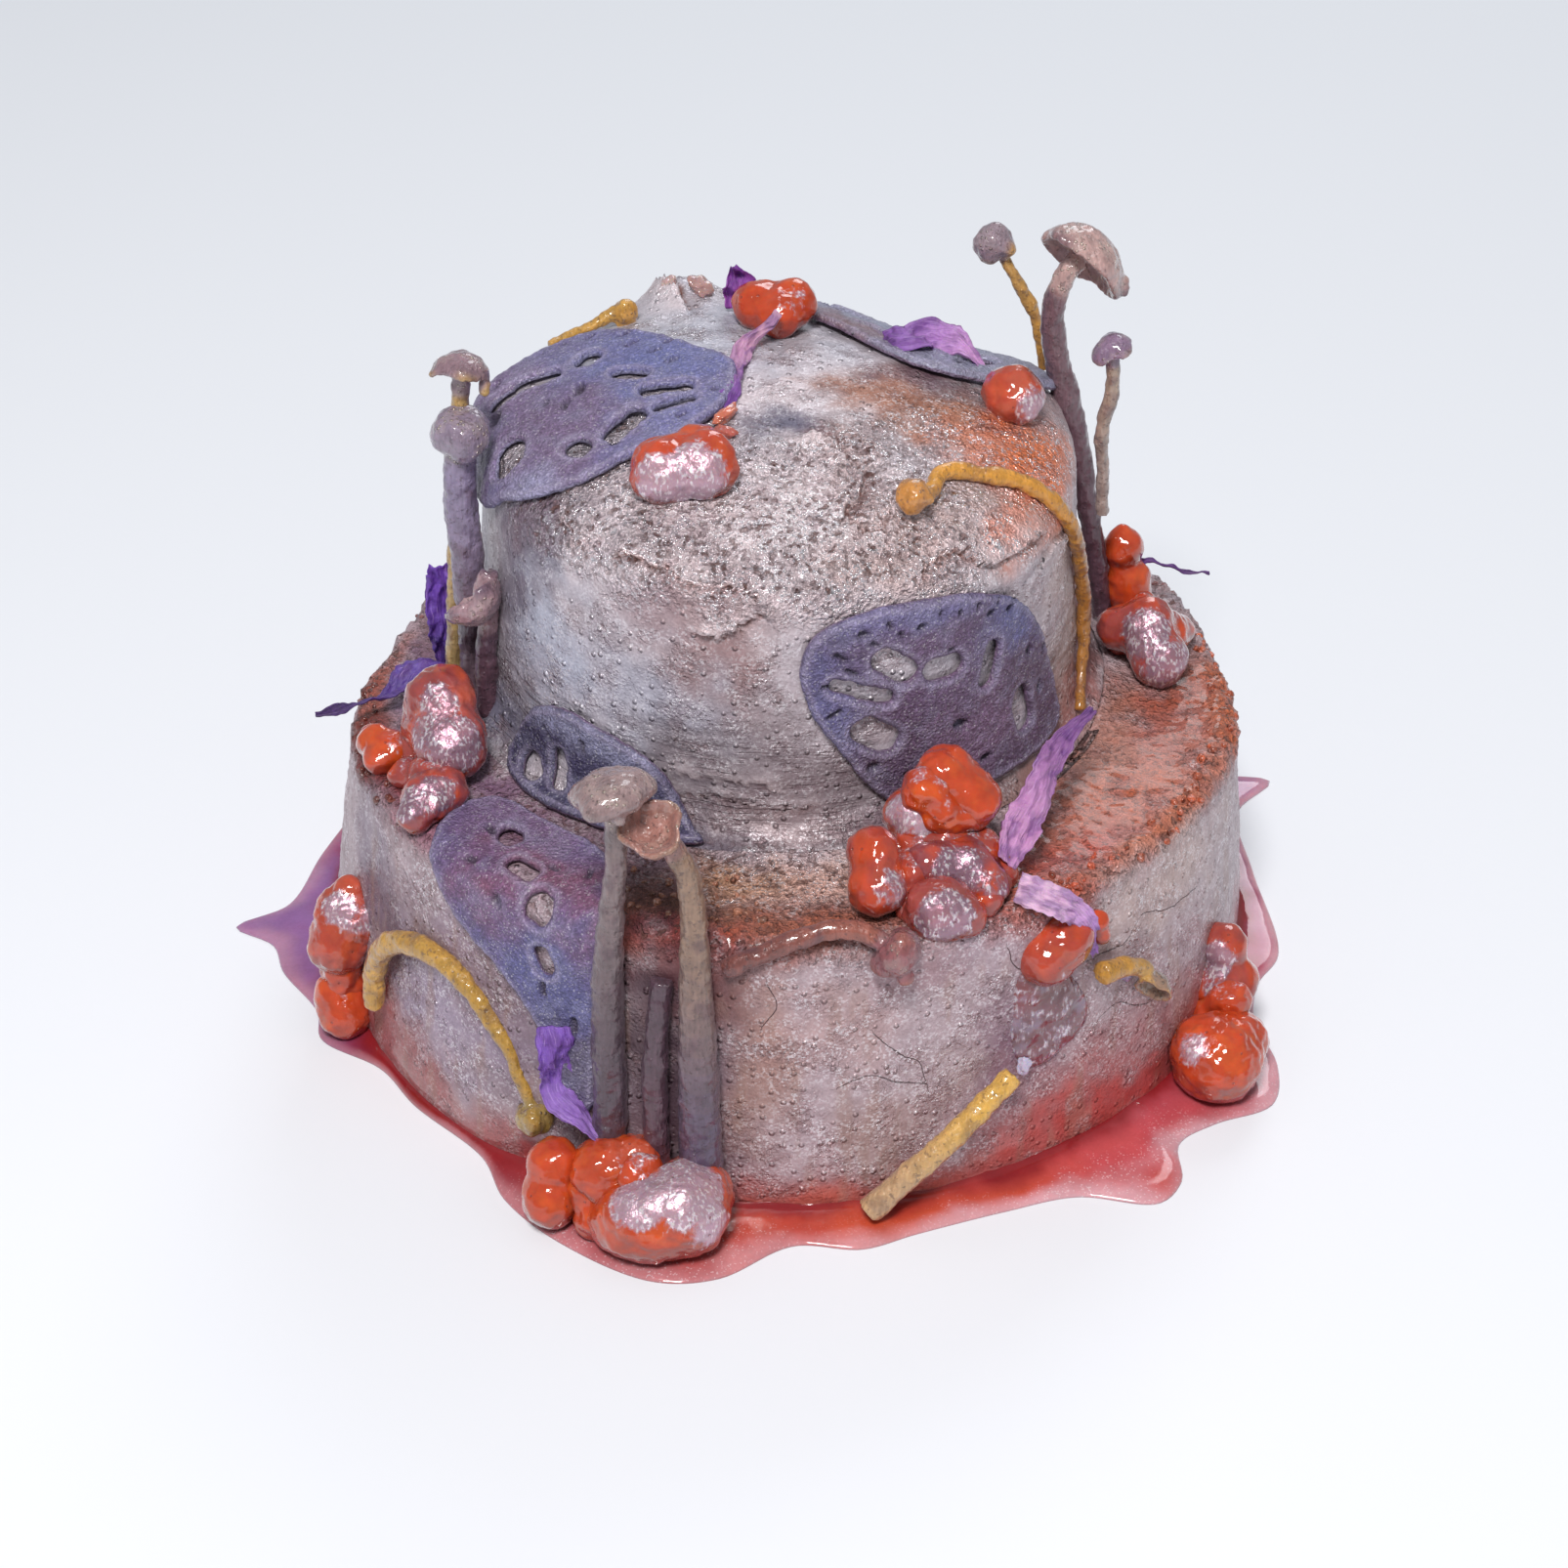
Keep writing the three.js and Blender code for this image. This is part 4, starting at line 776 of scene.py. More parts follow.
def torn(plane):
    """The height of the torn edges: full on one side of each line, and dipping on its other side."""
    height = np.zeros(len(plane))
    for line, rise in TEARS:
        distance = beside(plane, line) * np.sign(rise)
        raised = distance > 0
        share = np.where(raised, TEAR_CREST, -TEAR_DIP)
        reach = np.where(raised, CREST_REACH, DIP_REACH)
        height += abs(rise) * share * np.exp(-np.abs(distance) / reach)
    return height


def nearest_crack(plane):
    """The distance from the nearest hairline crack, positive on its left."""
    found = np.full(len(plane), CRACK_REACH)
    for line in CRACKS:
        distance = beside(plane, line)
        found = np.where(np.abs(distance) < np.abs(found), distance, found)
    return found


def frosting_zones(azimuth, run):
    """Shares of the shoulder, the ledge, the rim's crust, the sandy right and the middle of the front."""
    shoulder = between(run, *SHOULDER_RUNS) * sector(azimuth, -80, -0.35, 0.4)
    ledge = between(run, *LEDGE_RUNS)
    crusted = np.maximum(sector(azimuth, -14, 0.55, 0.8), bump(azimuth + 178, 42))
    rim = np.exp(-((run - RIM_RUN) / RIM_HALF_WIDTH) ** 2) * crusted
    return shoulder, ledge, rim, sector(azimuth, 5, 0.45, 0.8), sector(azimuth, -90, 0.8, 0.97)


def frosted(name, section, steps, colour, dabs, place, skirt=0):
    """A tier: its flat section spun round, then laid over the cake with fine relief and colour."""
    bm = spun(section, steps)
    flat = coordinates(bm)
    azimuth, run = unmapped(flat[:, :2])
    outside = np.abs(flat[:, 2]) < 0.5
    base = skin(azimuth, run)
    shoulder, ledge, rim, sandy, middle = frosting_zones(azimuth, run)
    swell = fractal(base, 8, 3, seed=1)
    crust = fractal(base, 2.1, 3, seed=2)
    patchy = fractal(base, 6, 3, seed=5)
    rough = 0.1 + shoulder * (0.85 - 0.6 * sandy) + (0.4 + 0.5 * middle) * ledge + 0.5 * rim + 0.3 * patchy
    rough = np.clip(rough, 0, 1)
    spread = fractal(base / (9, 9, 0.7), 1, 2, seed=3)
    distance, draw = cells(base, 1.6, seed=4)
    pearls = np.clip(1 - distance / 0.36, 0, 1) * (draw > 0.4)
    trowel = between(run, *TROWEL_RUNS)
    plane = mapped(azimuth, run)
    warped = mapped(azimuth + 2.2 * crust, run + 1.1 * fractal(base, 3, 2, seed=6))
    detail = 0.3 * swell + 0.42 * rough * crust + 0.24 * trowel * spread + 0.24 * pearls
    tear = torn(warped) * (1 + 0.5 * crust)
    lines = between(run, *LINE_RUNS) * smoothstep(patchy, -0.5, 0.2)
    detail += tear + rim * (0.3 + 0.7 * crust)
    detail *= smoothstep(FLOOR_RUN - run, 0, 3) * smoothstep(run, 0, 2)
    detail -= smoothstep(run, SEAT_RUN - 0.2, SKIRT_RUN) * skirt
    points = np.where(outside[:, None], skin(azimuth, run, detail), place(flat, azimuth, run))
    mesh = mesh_of(reshaped(bm, points), name)
    colours = dabbed(np.tile(colour, (len(flat), 1)), azimuth, run, dabs, base)
    stains = smoothstep(fractal(base / (1, 1, 7), 3.4, 3, seed=9), 0.22, 0.55) * smoothstep(run, 124, 134)
    colours = blended(colours, (0.32, 0.19, 0.15), 0.4 * stains)
    colours = blended(colours, (0.3, 0.21, 0.23), 0.3 * smoothstep(patchy, 0.1, 0.6))
    # Painted shade: plum in the hollows of the rough crust
    colours = blended(colours, PLUM, 0.55 * np.clip(-crust - 0.15, 0, 1) * rough)
    # Torn edges: painted highlight along each raised crest, and painted shadow in the dip beside it
    colours = blended(colours, WHITE, 0.6 * np.clip(tear, 0, 1))
    colours = blended(colours, BROWN, 1.3 * np.clip(-tear, 0, 1))
    glaze = smoothstep(run, 97, 103) * smoothstep(colours[:, 0] / (colours[:, 2] + 0.03), 2.0, 4.0)
    pearl = 0.45 + 0.6 * shoulder + (0.5 * middle - 0.25) * ledge + 0.4 * patchy - 0.8 * glaze
    pearl = np.clip(pearl, 0, 1)
    pearl *= smoothstep(colours.mean(axis=1), 0.05, 0.34)
    wet = np.clip(0.55 * glaze + 0.7 * smoothstep(run, 164, 173), 0, 1)
    crack = nearest_crack(plane)
    cracked = 1 - smoothstep(np.abs(crack), 1.2, 2.2)
    paint(mesh, colours, rough=rough, pearl=pearl, wet=wet, crack=crack, cracked=cracked, trowel=lines)
    return mesh


def upper_tier():
    runs = np.linspace(0, SKIRT_RUN, UPPER_ROWS)
    section = [(run, 0) for run in runs] + [(SEAT_RUN, -1), (0, -1)]

    def underside(flat, azimuth, run):
        reach = np.where(run > 1, SEAT_RADIUS - 1, 0)
        ring = mapped(azimuth, reach) + (UPPER_AXIS_X, 0)
        return np.column_stack([ring, np.full(len(flat), SEAT_HEIGHT + GAP)])

    mesh = frosted(
        "upper tier frosting", section, UPPER_STEPS, SILVER, UPPER_DABS, underside, SKIRT_DIP)
    piece("upper_tier_frosting", mesh, FINISHES["frosting"], "frosting", "upper_tier")


def lower_tier():
    runs = np.linspace(SEAT_RUN + GAP, FLOOR_RUN, LOWER_ROWS)
    section = [(0, 1), (SEAT_RUN, 1)] + [(run, 0) for run in runs] + [(0, -1)]

    def ends(flat, azimuth, run):
        over = flat[:, 2] > 0
        ring = mapped(azimuth, np.where(over & (run > 1), SEAT_RADIUS, 0))
        return np.column_stack([ring, np.where(over, SEAT_HEIGHT, 0)])

    mesh = frosted("lower tier frosting", section, LOWER_STEPS, WALL, LOWER_DABS + FOOT_DABS, ends)
    piece("lower_tier_frosting", mesh, FINISHES["frosting"], "frosting", "lower_tier")


# --- Lotus root slices -----------------------------------------------------------------------------

LAVENDER = (0.42, 0.42, 0.62)
INDIGO = (0.15, 0.15, 0.34)
NIGHT = (0.07, 0.06, 0.13)
VIOLET = (0.14, 0.1, 0.24)
HEATHER = (0.26, 0.15, 0.27)

# Slices: outline (azimuth, run), and holes as slots of (azimuth, run, length, width, turn)
LOTUS_SLICES = {
    "lotus_top": dict(
        outline=[
            (198, 58.5), (206, 54), (214, 50), (220, 43.5), (224, 34.5), (231, 27), (231, 20), (229, 14),
            (202, 8), (157, 9), (147, 17), (146, 28.5), (149, 38), (156, 43), (165, 48), (174, 55),
            (187, 60),
        ],
        holes=[
            (175.5, 42, 8.5, 4, 70), (179, 47.5, 6, 3.5, 60), (167, 34, 5.5, 3.4, 20),
            (180.5, 25.5, 6.5, 3.4, 110), (197, 20, 9, 3, 95), (211, 20.5, 8, 2.2, 95),
            (211, 30, 9.5, 4, 70), (199.5, 49, 7.5, 6.5, 30), (210.5, 39, 4.8, 4.4, 0),
        ],
    ),
    "lotus_wall": dict(
        outline=[
            (-86, 66), (-83.5, 59.5), (-75.5, 56), (-62.5, 55.5), (-48, 58.5), (-37.5, 66.5), (-30, 79),
            (-27, 93), (-41, 95.5), (-60, 95), (-71, 91.5), (-79, 81), (-84, 73.5),
        ],
        holes=[
            (-69, 66.5, 9, 4.5, 40), (-59.5, 69, 7.5, 4.4, 5), (-49, 72, 8.5, 3.4, 105),
            (-39.5, 85, 9.5, 4.4, 75), (-75, 70.5, 11.5, 2.6, 22), (-72.5, 79, 9, 5, 35),
        ],
    ),
    "lotus_foot": dict(
        outline=[
            (-145, 96), (-141, 87), (-132, 82), (-121.5, 83), (-110, 88), (-105, 95.5), (-102, 99.5),
            (-112, 101.5), (-123, 102), (-133, 102), (-142, 100),
        ],
        holes=[(-131, 94, 8.5, 3, 80), (-137.5, 96.5, 6, 4.4, 60)],
    ),
    "lotus_ledge": dict(
        outline=[
            (-137.5, 122), (-140.5, 114), (-138, 107), (-127, 105.5), (-115, 109), (-110.5, 122),
            (-111, 141.5), (-112, 158), (-115, 157), (-118.5, 144), (-123, 137), (-131, 130),
        ],
        holes=[
            (-130, 113, 5.5, 4.4, 0), (-124.5, 118.5, 7, 3, 10), (-119.5, 123, 5.5, 4, 20),
            (-118, 130.5, 5.5, 3, 60),
        ],
    ),
    "lotus_back": dict(
        outline=[
            (84, 34), (76, 42), (58, 44), (42, 46), (31, 49), (22, 51.5), (15, 48), (12, 36), (18, 25),
            (36, 21.5), (62, 23), (80, 28),
        ],
        holes=[(72, 38, 9, 4, 10), (40, 38, 6.5, 4, 60), (56, 31, 6, 3.4, 20), (24, 38, 5, 4, 80)],
        lift=0.2,
    ),
}
# Small slots that only dent a slice: azimuth, run, length, width, turn
LOTUS_PORES = {
    "lotus_top": [
        (157, 28, 3.2, 1.1, 30), (160, 23, 3, 1.1, 30), (168, 19, 3, 1.1, 35), (158, 41, 2.4, 1, 60),
        (173, 49, 2.4, 1.2, 0), (186, 34, 4, 1.6, 10), (192, 37, 3, 1.3, 20), (188, 40, 2.4, 1.1, 0),
        (216, 34, 2, 1.6, 0), (185, 49, 3.4, 1.6, 20), (212, 13, 1.4, 1.2, 0), (222, 22, 2, 1, 90),
        (150, 22, 2.6, 0.8, 20), (151, 31, 2.6, 0.8, 20), (154, 37, 2.4, 0.8, 20), (163, 44, 2, 0.8, 50),
    ],
    "lotus_wall": [
        (-75, 59.5, 1.8, 1.4, 0), (-64, 60, 1.8, 1.4, 0), (-79, 63.5, 2.6, 0.9, 40), (-80, 74, 3, 1, -30),
        (-56, 81, 3, 1.8, 20), (-73, 85, 2, 1.8, 0), (-44, 63, 1.6, 1.3, 0), (-38, 74, 2, 1.2, 60),
        (-49, 62, 1.6, 1.2, 0), (-77, 66.5, 2.4, 0.8, 35), (-34, 83, 2.2, 1.2, 80),
        (-70, 58.5, 1.8, 0.8, 60), (-60, 58.5, 1.6, 0.8, 90), (-81, 69, 2.4, 0.8, 10),
        (-66, 88, 2.6, 1.1, 30), (-50, 90, 2.2, 1.3, 0), (-73, 61.5, 1.6, 0.7, 45),
        (-68, 60.5, 1.5, 0.7, 70), (-56, 59.5, 1.5, 0.7, 90), (-52, 59.5, 1.5, 0.7, 100),
        (-47, 60, 1.5, 0.7, 110), (-42, 61.5, 1.5, 0.8, 130), (-77, 70, 2, 0.7, 20),
        (-35, 70, 1.6, 0.8, 90), (-33, 76, 1.8, 0.9, 80), (-74, 80, 2, 0.9, -20), (-58, 66, 1.4, 0.7, 0),
        (-38, 87, 1.8, 1, 60),
    ],
    "lotus_foot": [
        (-135, 88, 3, 1.1, 60), (-126, 87, 3, 1, 80), (-117, 91, 3, 1.1, 100), (-121, 95, 2.4, 1, 60),
    ],
    "lotus_ledge": [
        (-133, 114, 3.4, 1.6, 20), (-125, 124, 2.4, 1.1, 30), (-121, 116, 3, 1.2, 10),
        (-131, 121, 2.4, 1, 0), (-116, 115, 3, 1.2, 80), (-118, 136, 3, 1.2, 80), (-114, 141, 3, 1.2, 80),
        (-116, 148, 2.2, 1, 80),
    ],
    "lotus_back": [
        (63, 30, 3, 1.2, 0), (50, 27, 3, 1.2, 20), (33, 31, 2.6, 1.3, 40), (21, 33, 2.6, 1.2, 60),
    ],
}
# Colours dabbed on each slice, as on the frosting
LOTUS_DABS = {
    "lotus_top": [
        (170, 20, 34, 14, (0.16, 0.18, 0.44), 0.8), (205, 42, 24, 16, (0.2, 0.12, 0.22), 0.8),
        (222, 22, 18, 14, (0.2, 0.2, 0.44), 0.7), (176, 50, 14, 9, HEATHER, 0.6),
        (213, 50, 10, 5, LAVENDER, 0.5),
    ],
    "lotus_wall": [
        (-62, 68, 18, 9, (0.17, 0.1, 0.2), 0.6), (-66, 58, 16, 3, (0.18, 0.16, 0.34), 0.8),
        (-40, 64, 9, 8, INDIGO, 0.9), (-81, 72, 6, 14, INDIGO, 0.8), (-52, 84, 10, 8, HEATHER, 0.8),
    ],
    "lotus_foot": [(-124, 85, 24, 3, LAVENDER, 0.5), (-122, 93, 14, 7, NIGHT, 0.5)],
    "lotus_ledge": [
        (-128, 111, 14, 8, (0.22, 0.13, 0.24), 0.9), (-120, 121, 14, 7, (0.28, 0.09, 0.14), 0.85),
        (-118, 134, 9, 10, (0.12, 0.12, 0.3), 0.9), (-113, 150, 8, 9, (0.13, 0.11, 0.17), 0.9),
    ],
    "lotus_back": [(50, 36, 34, 7, (0.34, 0.36, 0.5), 0.9), (66, 26, 34, 6, (0.27, 0.14, 0.16), 0.9)],
}
LOTUS_COLOURS = {
    "lotus_top": (0.2, 0.17, 0.34),
    "lotus_wall": (0.13, 0.08, 0.15),
    "lotus_foot": (0.05, 0.04, 0.1),
    "lotus_ledge": VIOLET,
    "lotus_back": (0.3, 0.3, 0.42),
}
DOME_SLICES = ("lotus_top", "lotus_back")
SLICE_GRID = 0.42
# Step over which the slope towards a sheet's edge is taken
SLOPE_STEP = 0.05


class Sheet:
    """A map, true to size near a slice, between its own plane and the outside of the cake."""

    def __init__(self, outline, on_dome):
        centre = np.mean(outline, axis=0)
        self.on_dome = on_dome
        self.middle = 0 if on_dome else centre[0]
        radius = profile_at(centre[1])[0]
        self.per_degree = radius * math.radians(1)

    def flat(self, azimuth, run):
        if self.on_dome:
            return mapped(azimuth, run)
        turn = wrapped(azimuth - self.middle)
        return np.stack([turn * self.per_degree, -np.asarray(run, float)], axis=-1)

    def polar(self, flat):
        if self.on_dome:
            return unmapped(flat)
        return flat[:, 0] / self.per_degree + self.middle, -flat[:, 1]

    def slot(self, flat, spec):
        """The distance outside a round-ended slot: azimuth, run, length, width, turn."""
        azimuth, run, length, width, turn = spec
        centre = self.flat(azimuth, run)
        round_way = self.flat(azimuth + 0.5, run) - centre
        down_way = self.flat(azimuth, run + 0.5) - centre
        cos = math.cos(math.radians(turn))
        sin = math.sin(math.radians(turn))
        long_way = cos * round_way / np.linalg.norm(round_way) + sin * down_way / np.linalg.norm(down_way)
        offset = flat - centre
        lengthwise = offset @ long_way
        across = offset @ np.array([-long_way[1], long_way[0]])
        straight = np.maximum(np.abs(lengthwise) - (length - width) / 2, 0)
        return np.hypot(straight, across) - width / 2


def depth_inside(flat, outline):
    """How far points of a plane are inside a closed outline, negative outside it."""
    nearest = np.full(len(flat), np.inf)
    inside = np.zeros(len(flat), bool)
    for start, end in zip(outline, np.roll(outline, -1, axis=0)):
        step = end - start
        offset = flat - start
        share = np.clip(offset @ step / max(step @ step, 1e-9), 0, 1)
        away = offset - share[:, None] * step
        nearest = np.minimum(nearest, np.hypot(away[:, 0], away[:, 1]))
        crosses = (start[1] > flat[:, 1]) != (end[1] > flat[:, 1])
        rise = np.where(np.abs(step[1]) < 1e-9, 1e-9, step[1])
        inside ^= crosses & (flat[:, 0] < start[0] + (flat[:, 1] - start[1]) / rise * step[0])
    return np.where(inside, nearest, -nearest)


def cut_sheet(sheet, outline, holes, spacing, seed):
    """A flat sheet of that outline with holes, in three levels 0, 0.5 and 1, as a bmesh, and the
    function that gives how far inside it a point is."""
    edge = curve_through([mapped(*point) for point in outline], closed=True, spans=8)
    edge = sheet.flat(*unmapped(edge))

    def depth(flat):
        inside = depth_inside(flat, edge)
        for hole in holes:
            inside = np.minimum(inside, sheet.slot(flat, hole))
        uneven = fractal(in_space(flat), 2.6, 3, seed=seed)
        return inside + 0.3 * uneven

    low = edge.min(axis=0) - 1
    high = edge.max(axis=0) + 1
    columns, rows = np.ceil((high - low) / spacing).astype(int)
    bm = bmesh.new()
    bmesh.ops.create_grid(bm, x_segments=columns, y_segments=rows, size=0.5)
    bmesh.ops.translate(bm, vec=(0.5, 0.5, 0), verts=bm.verts)
    bmesh.ops.scale(bm, vec=(*(high - low), 1), verts=bm.verts)
    bmesh.ops.translate(bm, vec=(*low, 0), verts=bm.verts)
    middles = np.array([face.calc_center_median()[:2] for face in bm.faces])
    outside = [face for face, inside in zip(bm.faces, depth(middles)) if inside < 0]
    bmesh.ops.delete(bm, geom=outside, context="FACES")
    border = [vert for vert in bm.verts if vert.is_boundary]
    flat = np.array([vert.co[:2] for vert in border])
    for _ in range(3):
        here = depth(flat)
        ways = ((SLOPE_STEP, 0), (0, SLOPE_STEP))
        slopes = np.stack([(depth(flat + way) - here) / SLOPE_STEP for way in ways], axis=-1)
        size = np.maximum((slopes**2).sum(axis=1), 0.3)
        flat = flat - np.clip(here, -0.5, 0.5)[:, None] * slopes / size[:, None]
    for vert, (x, y) in zip(border, flat):
        vert.co = (x, y, 0)
    inner = [vert for vert in bm.verts if not vert.is_boundary]
    for _ in range(2):
        bmesh.ops.smooth_vert(bm, verts=inner, factor=0.5, use_axis_x=True, use_axis_y=True)
    thickened(bm)
    whole = bm.verts[:] + bm.edges[:] + bm.faces[:]
    bmesh.ops.bisect_plane(bm, geom=whole, plane_co=(0, 0, 0.5), plane_no=(0, 0, 1), dist=WELD)
    bmesh.ops.recalc_face_normals(bm, faces=bm.faces)
    return bm, depth


def lotus_slice(name, outline, holes, lift=0):
    sheet = Sheet(outline, name in DOME_SLICES)
    bm, depth = cut_sheet(sheet, outline, holes, SLICE_GRID, seed=len(name))
    found = coordinates(bm)
    flat = found[:, :2]
    level = found[:, 2]
    azimuth, run = sheet.polar(flat)
    inside = depth(flat)
    solid = in_space(flat)
    waves = fractal(solid, 12, 2, seed=3)
    pimples = fractal(solid, 1.4, 2, seed=4) + 0.6 * fractal(solid, 3.2, 2, seed=6)
    pores = np.zeros(len(flat))
    for pore in LOTUS_PORES[name]:
        pores = np.maximum(pores, 1 - smoothstep(sheet.slot(flat, pore), -0.35, 0.25))
    raised = 0.12 * np.exp(-((inside - 0.8) / 0.4) ** 2)
    top = SLICE_THICKNESS - 0.6 * np.exp(-np.maximum(inside, 0) / 0.4) + raised + 0.2 * pimples - 1.1 * pores
    bottom = 0.25 * np.exp(-np.maximum(inside, 0) / 0.4)
    height = np.where(level > 0.75, top, np.where(level > 0.25, SLICE_THICKNESS / 2, bottom))
    points = skin(azimuth, run, SLICE_LIFT + lift + 0.25 * waves + height)
    mesh = mesh_of(reshaped(bm, points), name)
    colours = np.tile(LOTUS_COLOURS[name], (len(flat), 1))
    colours = dabbed(colours, azimuth, run, LOTUS_DABS[name], points)
    pale_rim = np.exp(-((inside - 0.8) / 0.5) ** 2) * (level > 0.75)
    colours = blended(colours, (0.4, 0.34, 0.5), 0.5 * pale_rim)
    side = (level < 0.75) & (inside < 0.3)
    colours = blended(colours, LAVENDER if name == "lotus_top" else HEATHER, 0.6 * side)
    # Painted shade: the pores, which are only dents, darkened almost to black
    colours = blended(colours, (0.06, 0.04, 0.07), 0.9 * pores)
    paint(mesh, colours)
    piece(name + "_slice", mesh, FINISHES["lotus"], "lotus", name)


# --- Jelly -----------------------------------------------------------------------------------------

# A lump with a lobe of more than this radius gets finer faces and more rounds of smoothing
LARGE_LOBE = 5
LARGE_ROUNDS = 36
SMALL_ROUNDS = 14
# How sharply the lobes of a lump meet
SHARPNESS = 0.9
JELLY_ORANGE = (0.6, 0.06, 0.007)
# Deep red of painted shade, on the jelly's undersides and in the shadow on the melted skin
JELLY_SHADE_RED = (0.2, 0.012, 0.01)
JELLY_GLOW = (0.74, 0.115, 0.013)
JELLY_MILK = (0.54, 0.16, 0.11)
JELLY_BERRY = (0.25, 0.06, 0.075)

# Lumps: their middle, and lobes (x, y, z, radius) as seen from it
JELLY_LUMPS = {
    "jelly_top_back": dict(
        at=(-3, 21.5, 116), lobes=[(-3.5, 1.5, -0.5, 4.5), (3, 1.5, 0, 4.3), (0.5, -2.5, -1, 3.8)],
    ),
    "jelly_top_front": dict(
        at=(-17, -30.5, 114.5), lobes=[(-4, -1.5, -1, 5.6), (3, -1.5, 0, 5.4), (1.5, 2.5, 1, 3.8)],
    ),
    "jelly_top_right": dict(at=(37.5, 1, 110), lobes=[(-0.5, 1, 0, 4.6), (1, -1, 0, 4.2)]),
    "jelly_left_tall": dict(
        at=(-59.5, -32.5, 64), lobes=[(0, 2.5, 3, 6), (2, -3.5, -2, 6.4), (-2.5, 0.5, -1.5, 4.2)],
    ),
    "jelly_left_low": dict(
        at=(-60.5, -46.5, 57.8), lobes=[(-0.5, 0.5, 0, 4.3), (3, 2.5, 0.5, 3.7), (-2, -3.5, -1, 3)],
    ),
    "jelly_left_rim": dict(
        at=(-69.5, -30, 57.5), lobes=[(-2, 1, 0, 3.2), (2, -1.5, 0, 3.4), (-1, -4, -0.5, 2.6)],
    ),
    "jelly_front_crown": dict(
        at=(25.5, -58.5, 68), lobes=[(-4.5, -1.5, -3, 5.4), (0, 1.5, 3, 5.3), (4.5, -0.5, 0, 5)],
    ),
    "jelly_front_left": dict(
        at=(14.5, -70.5, 62), lobes=[(-0.5, 2.5, 2, 4.3), (0, -2.5, -2, 4.6), (1, 2, -3, 4.6)],
    ),
    "jelly_front_right": dict(
        at=(28, -68, 59.5), lobes=[(-5, 0, 1.5, 4.4), (1, 2, 0.5, 4.8), (4.5, -1, -1.5, 4)],
    ),
    "jelly_front_bead": dict(at=(26.5, -74, 56.5), lobes=[(-2.5, 0, 0.5, 5.4), (2, 0, -0.5, 3.8)]),
    "jelly_right_peak": dict(
        at=(61, 17, 67),
        lobes=[(-1, 0, 6.5, 1.8), (-0.5, 0, 2.5, 2.7), (0.5, 0, -2.5, 3.6), (1.5, -1, -7, 4.4)],
    ),
    "jelly_right_lobes": dict(
        at=(65, 1, 61.5), lobes=[(-6, 1, 1, 4.1), (-1, -1, 3, 5.1), (1, -5, -1.5, 5.3), (5.5, 5, -2, 3.2)],
    ),
    "jelly_foot_left_high": dict(
        at=(-78.8, -35, 23.5),
        lobes=[(1.5, 1.5, 4.5, 2.8), (-0.5, 0.5, 0.5, 4.6), (-1, -1.5, -5, 5.5), (3.5, -0.5, 0, 4.2)],
    ),
    "jelly_foot_left_low": dict(at=(-80, -38, 6.5), lobes=[(-0.5, 1, 1.5, 4.3), (1, -1, -2, 4.5)]),
    "jelly_foot_front_small": dict(at=(-38.5, -87, 9), lobes=[(0, 1.5, 2.5, 4.4), (-0.5, -1.5, -3.5, 4.9)]),
    "jelly_foot_front_left": dict(
        at=(-27, -86.5, 12), lobes=[(-3, -0.5, -1, 5.9), (2.5, 0.5, 1, 4), (0, 0, -5, 5)],
    ),
    "jelly_foot_front_big": dict(
        at=(-18.5, -93, 8),
        lobes=[(1.5, -0.5, 0.5, 8), (-5, -2, -0.5, 7), (-9, 0.5, -2.5, 5.5), (4, 3.5, 0.5, 6)],
    ),
    "jelly_foot_right_high": dict(
        at=(78.5, -38, 18), lobes=[(-1, 1, 3, 4.2), (1, -1, -3.5, 4.6), (-3.5, -1.5, -4.5, 3.6)],
    ),
    "jelly_foot_right_low": dict(
        at=(76.5, -50, 8), lobes=[(-0.5, -2.5, -0.5, 7.7), (3.5, 2.5, 0, 5.6), (-3.5, -0.5, 1, 5)],
    ),
    "jelly_wall_right": dict(at=(44.5, -70, 46), lobes=[(-2, -0.5, -1.5, 5), (1.5, 0.5, 1.5, 4.5)]),
    "jelly_wall_bead": dict(at=(51.5, -64.5, 46), lobes=[(0, 0, 1.5, 1.8), (0.5, 0, -1.2, 1.8)]),
}
